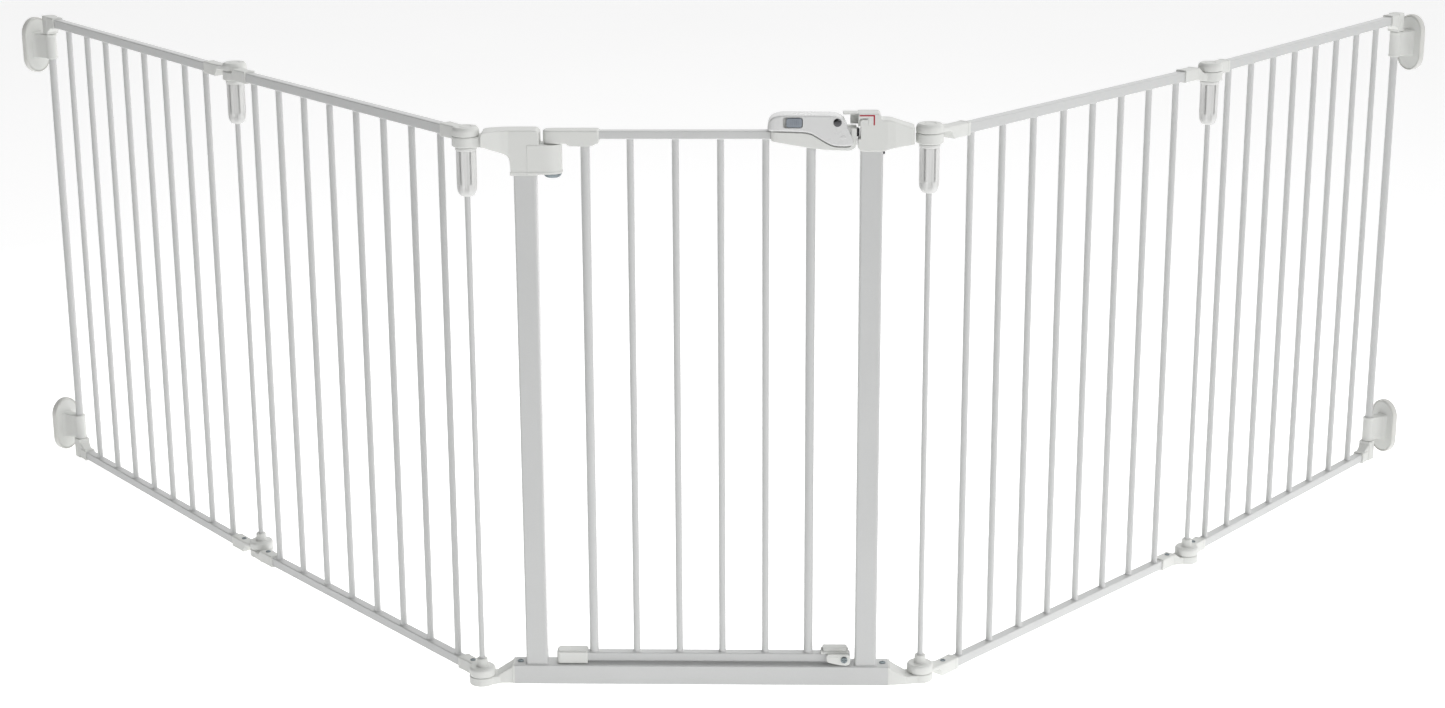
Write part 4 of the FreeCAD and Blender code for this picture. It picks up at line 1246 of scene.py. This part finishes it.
@dataclass
class Handle:
    """The lift handle over the latch: hood, thumb slide and bolt."""

    shop: Workshop
    inner: float = 12.9
    outer: float = 15.5
    tip: float = 87.6
    tail: float = 195.7
    window: tuple[float, float, float, float] = (106.6, 131.8, 753.2, 767.0)

    def hull(self, inward: float, start: float, end: float, drop: float = 0.0) -> Shell:
        """The cover's body as a beam along x: round left end, straight top and a tail that drops to the lower
        right.

        Args:
            inward: how far it is moved in all round.
            start, end: the part of its length that is kept.
            drop: how far its under side is let down.

        Returns:
            The closed shell.
        """
        over = rounded([(self.tip, 753.5), (88.6, 760.5), (93.5, 766.8), (104.0, 769.8), (168.0, 769.3),
                        (178.0, 767.6), (184.6, 761.6), (189.1, 750.8), (self.tail, 736.4)],
                       [0, 3, 5, 6, 8, 5, 6, 8, 0], 6, closed=False)
        under = rounded([(self.tip, 749.3), (114.0, 748.7), (136.0, 747.9), (144.0, 745.5), (152.0, 740.5),
                         (166.0, 732.0), (174.8, 730.0), (188.5, 730.1), (193.4, 731.2), (self.tail, 734.2)],
                        [0, 8, 8, 8, 8, 8, 6, 3, 2, 0], 6, closed=False)
        half = [(self.tip, 9.6), (88.4, 11.2), (90.0, 13.0), (92.5, 14.3), (96.0, 15.1), (102.0, self.outer),
                (196, self.outer)]
        rows = stations(under, over, np.linspace(self.tip, 104, 16), [(self.tip, 0), (196, 0)], half, 2.6,
                        (start, end))
        rows[:, 2] -= inward
        rows[:, 3] -= drop
        rows[:, 4] -= inward
        rows[:, 5] = np.maximum(rows[:, 5] - inward, 0.5)
        return beam(rows, 0.7 if not inward else 0.3, 5)

    def build(self) -> None:
        """Makes the hood, the slide, the bolt and the boss on the cheek."""
        shop = self.shop
        shop.piece("handle_hood", *self.hood())
        shop.piece("thumb_slide", self.slide(), ["slide_button"])
        nose = beam([(168.0, 0, 4.7, 741.0, 751.0, 0.6), (201.6, 0, 4.7, 741.0, 751.0, 0.6),
                     (203.1, 0, 4.0, 741.7, 750.3, 0.8)], 0.4)
        shop.piece("sprung_bolt", [nose], ["lock_bolt"])

    def hood(self) -> tuple[list[Shell], list[str], str, Optional[Slot], list[Shell]]:
        """The cover: a rounded shell cut hollow from below, with the slide's window cut into its front."""
        boss = spun([(0.6, -15.9), (2.6, -15.9), (3.4, -15.3), (3.4, -14.0)], 0.6, 3, segments=36).axes((0, 2, 1))
        boss = Shell(boss.verts * np.array([1.3, 1.0, 0.8]), boss.quads, boss.caps).moved(182.4, 0, 741.6)
        hollow = self.hull(self.outer - self.inner, 90.6, 197.0, 12.0)
        x0, x1, z0, z1 = self.window
        window = front(oblong(x0, z0, x1, z1, 4.4, 6), -self.outer - 1, -self.inner + 0.6, CUT_RIM, 1)
        return [self.hull(0.0, self.tip, self.tail), boss], ["handle_cover"], "", None, [hollow, window]

    def slide(self) -> list[Shell]:
        """The thumb slide: a rounded plate with five upright ribs on its face."""
        x0, x1, z0, z1 = self.window
        left, right, low, high = x0 + 4.3, x1 - 0.8, z0 + 0.9, z1 - 1.0
        plate = front(oblong(left, low, right, high, 3.6, 6), -self.outer + 0.1, -self.inner + 0.1, 0.9, 4)
        ribs = [front(oblong(x - 0.5, low + 2.6, x + 0.5, high - 2.6, 0.45, 3), -self.outer - 0.25, -self.outer + 0.6,
                      0.3) for x in (left + right) / 2 + 2.3 * np.arange(-2, 3)]
        return [plate, *ribs]


# ---- studio --------------------------------------------------------------------------------------------------
@dataclass
class Studio:
    """White floor, soft lights and the camera."""

    floor: float = 60.0
    near_glow: float = 0.75
    far_glow: float = 0.30
    dim: float = 0.12
    bright: float = 1.10
    bright_side: tuple[float, float, float] = (0.78, 0.62, 0.0)
    eye: tuple[float, float, float] = (0.09745, -3.17239, 1.37580)
    yaw: float = -1.62
    pitch: float = 16.18
    roll: float = -0.33
    film: float = 36.0
    focal: float = 63.864
    shift: float = 0.01193079585
    spread: float = 0.5

    def build(self) -> None:
        """Makes the floor, lights, world and camera."""
        self.ground()
        self.world()
        self.area("key", (1.8, -3.4, 2.9), (0.0, 0.3, 0.3), 2.2, 42.0)
        self.area("top", (0.3, 1.2, 4.2), (0.0, 0.4, 0.3), 3.0, 26.0)
        self.camera()

    def ground(self) -> None:
        """A level floor, a grid on x and y just under the feet, that glows softly, more near the gate."""
        side = np.linspace(-self.floor, self.floor, 9)
        x, y = np.meshgrid(side, side, indexing="ij")
        grid = np.stack([x, y, np.full_like(x, -0.0004)], axis=-1)
        index = np.arange(x.size).reshape(x.shape)
        quads = np.stack([index[:-1, :-1], index[1:, :-1], index[1:, 1:], index[:-1, 1:]], axis=-1).reshape(-1, 4)
        data = bpy.data.meshes.new("studio_floor")
        data.from_pydata(grid.reshape(-1, 3).tolist(), [], quads.tolist())
        ground = bpy.data.objects.new("studio_floor", data)
        bpy.context.scene.collection.objects.link(ground)
        graph = Graph("studio_white")
        tone = graph.blend(graph.noise(1.5, 2.0), (0.95, 0.95, 0.95), (0.97, 0.97, 0.97))
        graph.tree.links.new(tone, graph.shader.inputs["Base Color"])
        graph.shader.inputs["Roughness"].default_value = 0.9
        graph.shader.inputs["Specular IOR Level"].default_value = 0.2
        reach = graph.add("ShaderNodeVectorMath", {"operation": "DISTANCE"}, {0: graph.place, 1: (0.0, 0.4, 0.0)})
        near = graph.band(Value(graph, reach.outputs["Value"]), 2.6, 0.7)
        grey, white = (self.far_glow,) * 3, (self.near_glow,) * 3
        graph.tree.links.new(graph.blend(near, grey, white), graph.shader.inputs["Emission Color"])
        graph.shader.inputs["Emission Strength"].default_value = 1.0
        data.materials.append(graph.material)
        ground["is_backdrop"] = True

    def world(self) -> None:
        """White light from all round, growing from the front left (`dim`) to the back right (`bright`)."""
        world = bpy.data.worlds.new("studio")
        world.use_nodes = True
        tree = world.node_tree
        back = tree.nodes["Background"]
        way = tree.nodes.new("ShaderNodeTexCoord")
        along = tree.nodes.new("ShaderNodeVectorMath")
        along.operation = "DOT_PRODUCT"
        along.inputs[1].default_value = self.bright_side
        spread = tree.nodes.new("ShaderNodeMapRange")
        spread.interpolation_type = "SMOOTHSTEP"
        for key, value in (("From Min", -self.spread), ("From Max", self.spread), ("To Min", self.dim),
                           ("To Max", self.bright)):
            spread.inputs[key].default_value = value
        tree.links.new(way.outputs["Generated"], along.inputs[0])
        tree.links.new(along.outputs["Value"], spread.inputs["Value"])
        tree.links.new(spread.outputs[0], back.inputs["Strength"])
        back.inputs["Color"].default_value = (1.0, 1.0, 1.0, 1.0)
        bpy.context.scene.world = world
        bpy.context.scene.view_settings.view_transform = "Standard"

    def area(self, name: str, at: Sequence[float], to: Sequence[float], size: float, power: float) -> None:
        """A soft square lamp.

        Args:
            name: its name.
            at, to: where it hangs and what it is aimed at, in metres.
            size: its side in metres.
            power: its watts.
        """
        lamp = bpy.data.lights.new(name, "AREA")
        lamp.shape = "SQUARE"
        lamp.size = size
        lamp.energy = power
        made = bpy.data.objects.new(name, lamp)
        made.location = at
        made.rotation_mode = "QUATERNION"
        made.rotation_quaternion = (Vector(to) - Vector(at)).to_track_quat("-Z", "Y")
        bpy.context.scene.collection.objects.link(made)

    def camera(self) -> None:
        """Camera at its eye point, turned by yaw, pitch and roll in degrees, with film and focal length in mm."""
        lens = bpy.data.cameras.new("camera")
        lens.sensor_width = self.film
        lens.lens = self.focal
        lens.shift_x = self.shift
        yaw, pitch, roll = (math.radians(v) for v in (self.yaw, self.pitch, self.roll))
        ahead = Vector((math.sin(yaw) * math.cos(pitch), math.cos(yaw) * math.cos(pitch), -math.sin(pitch)))
        right = Vector((math.cos(yaw), -math.sin(yaw), 0.0))
        up = right.cross(ahead)
        side = math.cos(roll) * right + math.sin(roll) * up
        top = -math.sin(roll) * right + math.cos(roll) * up
        made = bpy.data.objects.new("camera", lens)
        made.matrix_world = Matrix.Translation(self.eye) @ Matrix((side, top, -ahead)).transposed().to_4x4()
        bpy.context.scene.collection.objects.link(made)
        bpy.context.scene.camera = made


def corners(bounds: tuple[Vector, Vector]) -> list[list[float]]:
    """A box as plain lists."""
    return [list(map(float, bounds[0])), list(map(float, bounds[1]))]


def main() -> None:
    """Builds every sub-assembly, the studio and the camera."""
    logging.basicConfig(level=logging.INFO, format="%(name)s %(message)s")
    cad_box = corners(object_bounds())
    shop = Workshop()
    shop.dress_frame()
    GateFrame(shop).build()
    Door(shop).build()
    Handle(shop).build()
    for side in ("left", "right"):
        inner = InnerPanel(side + "_inner", side + "_inner_fold", side + "_outer_fold", 10.0, -10.0, shop)
        outer = OuterPanel(side + "_outer", side + "_outer_fold", side + "_upper_wall_turn", -10.0, 0.0, shop)
        inner.build()
        outer.build()
        for level_name in ("upper", "lower"):
            WallMount(side, level_name, 150.0 if side == "left" else 30.0, shop).build()
        for place in ("gate", "panel"):
            name = f"{side}_{place}_knob"
            x, y, _ = shop.joint_at[name + "_turn"]
            shop.piece(name + "_fluted", [LockKnob().shell(x, y)], [name])
    Studio().build()
    LOG.info("%d pieces made", shop.made)
    {"cad": cad_box, "visual": corners(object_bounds())}


if __name__ == "__main__":
    main()
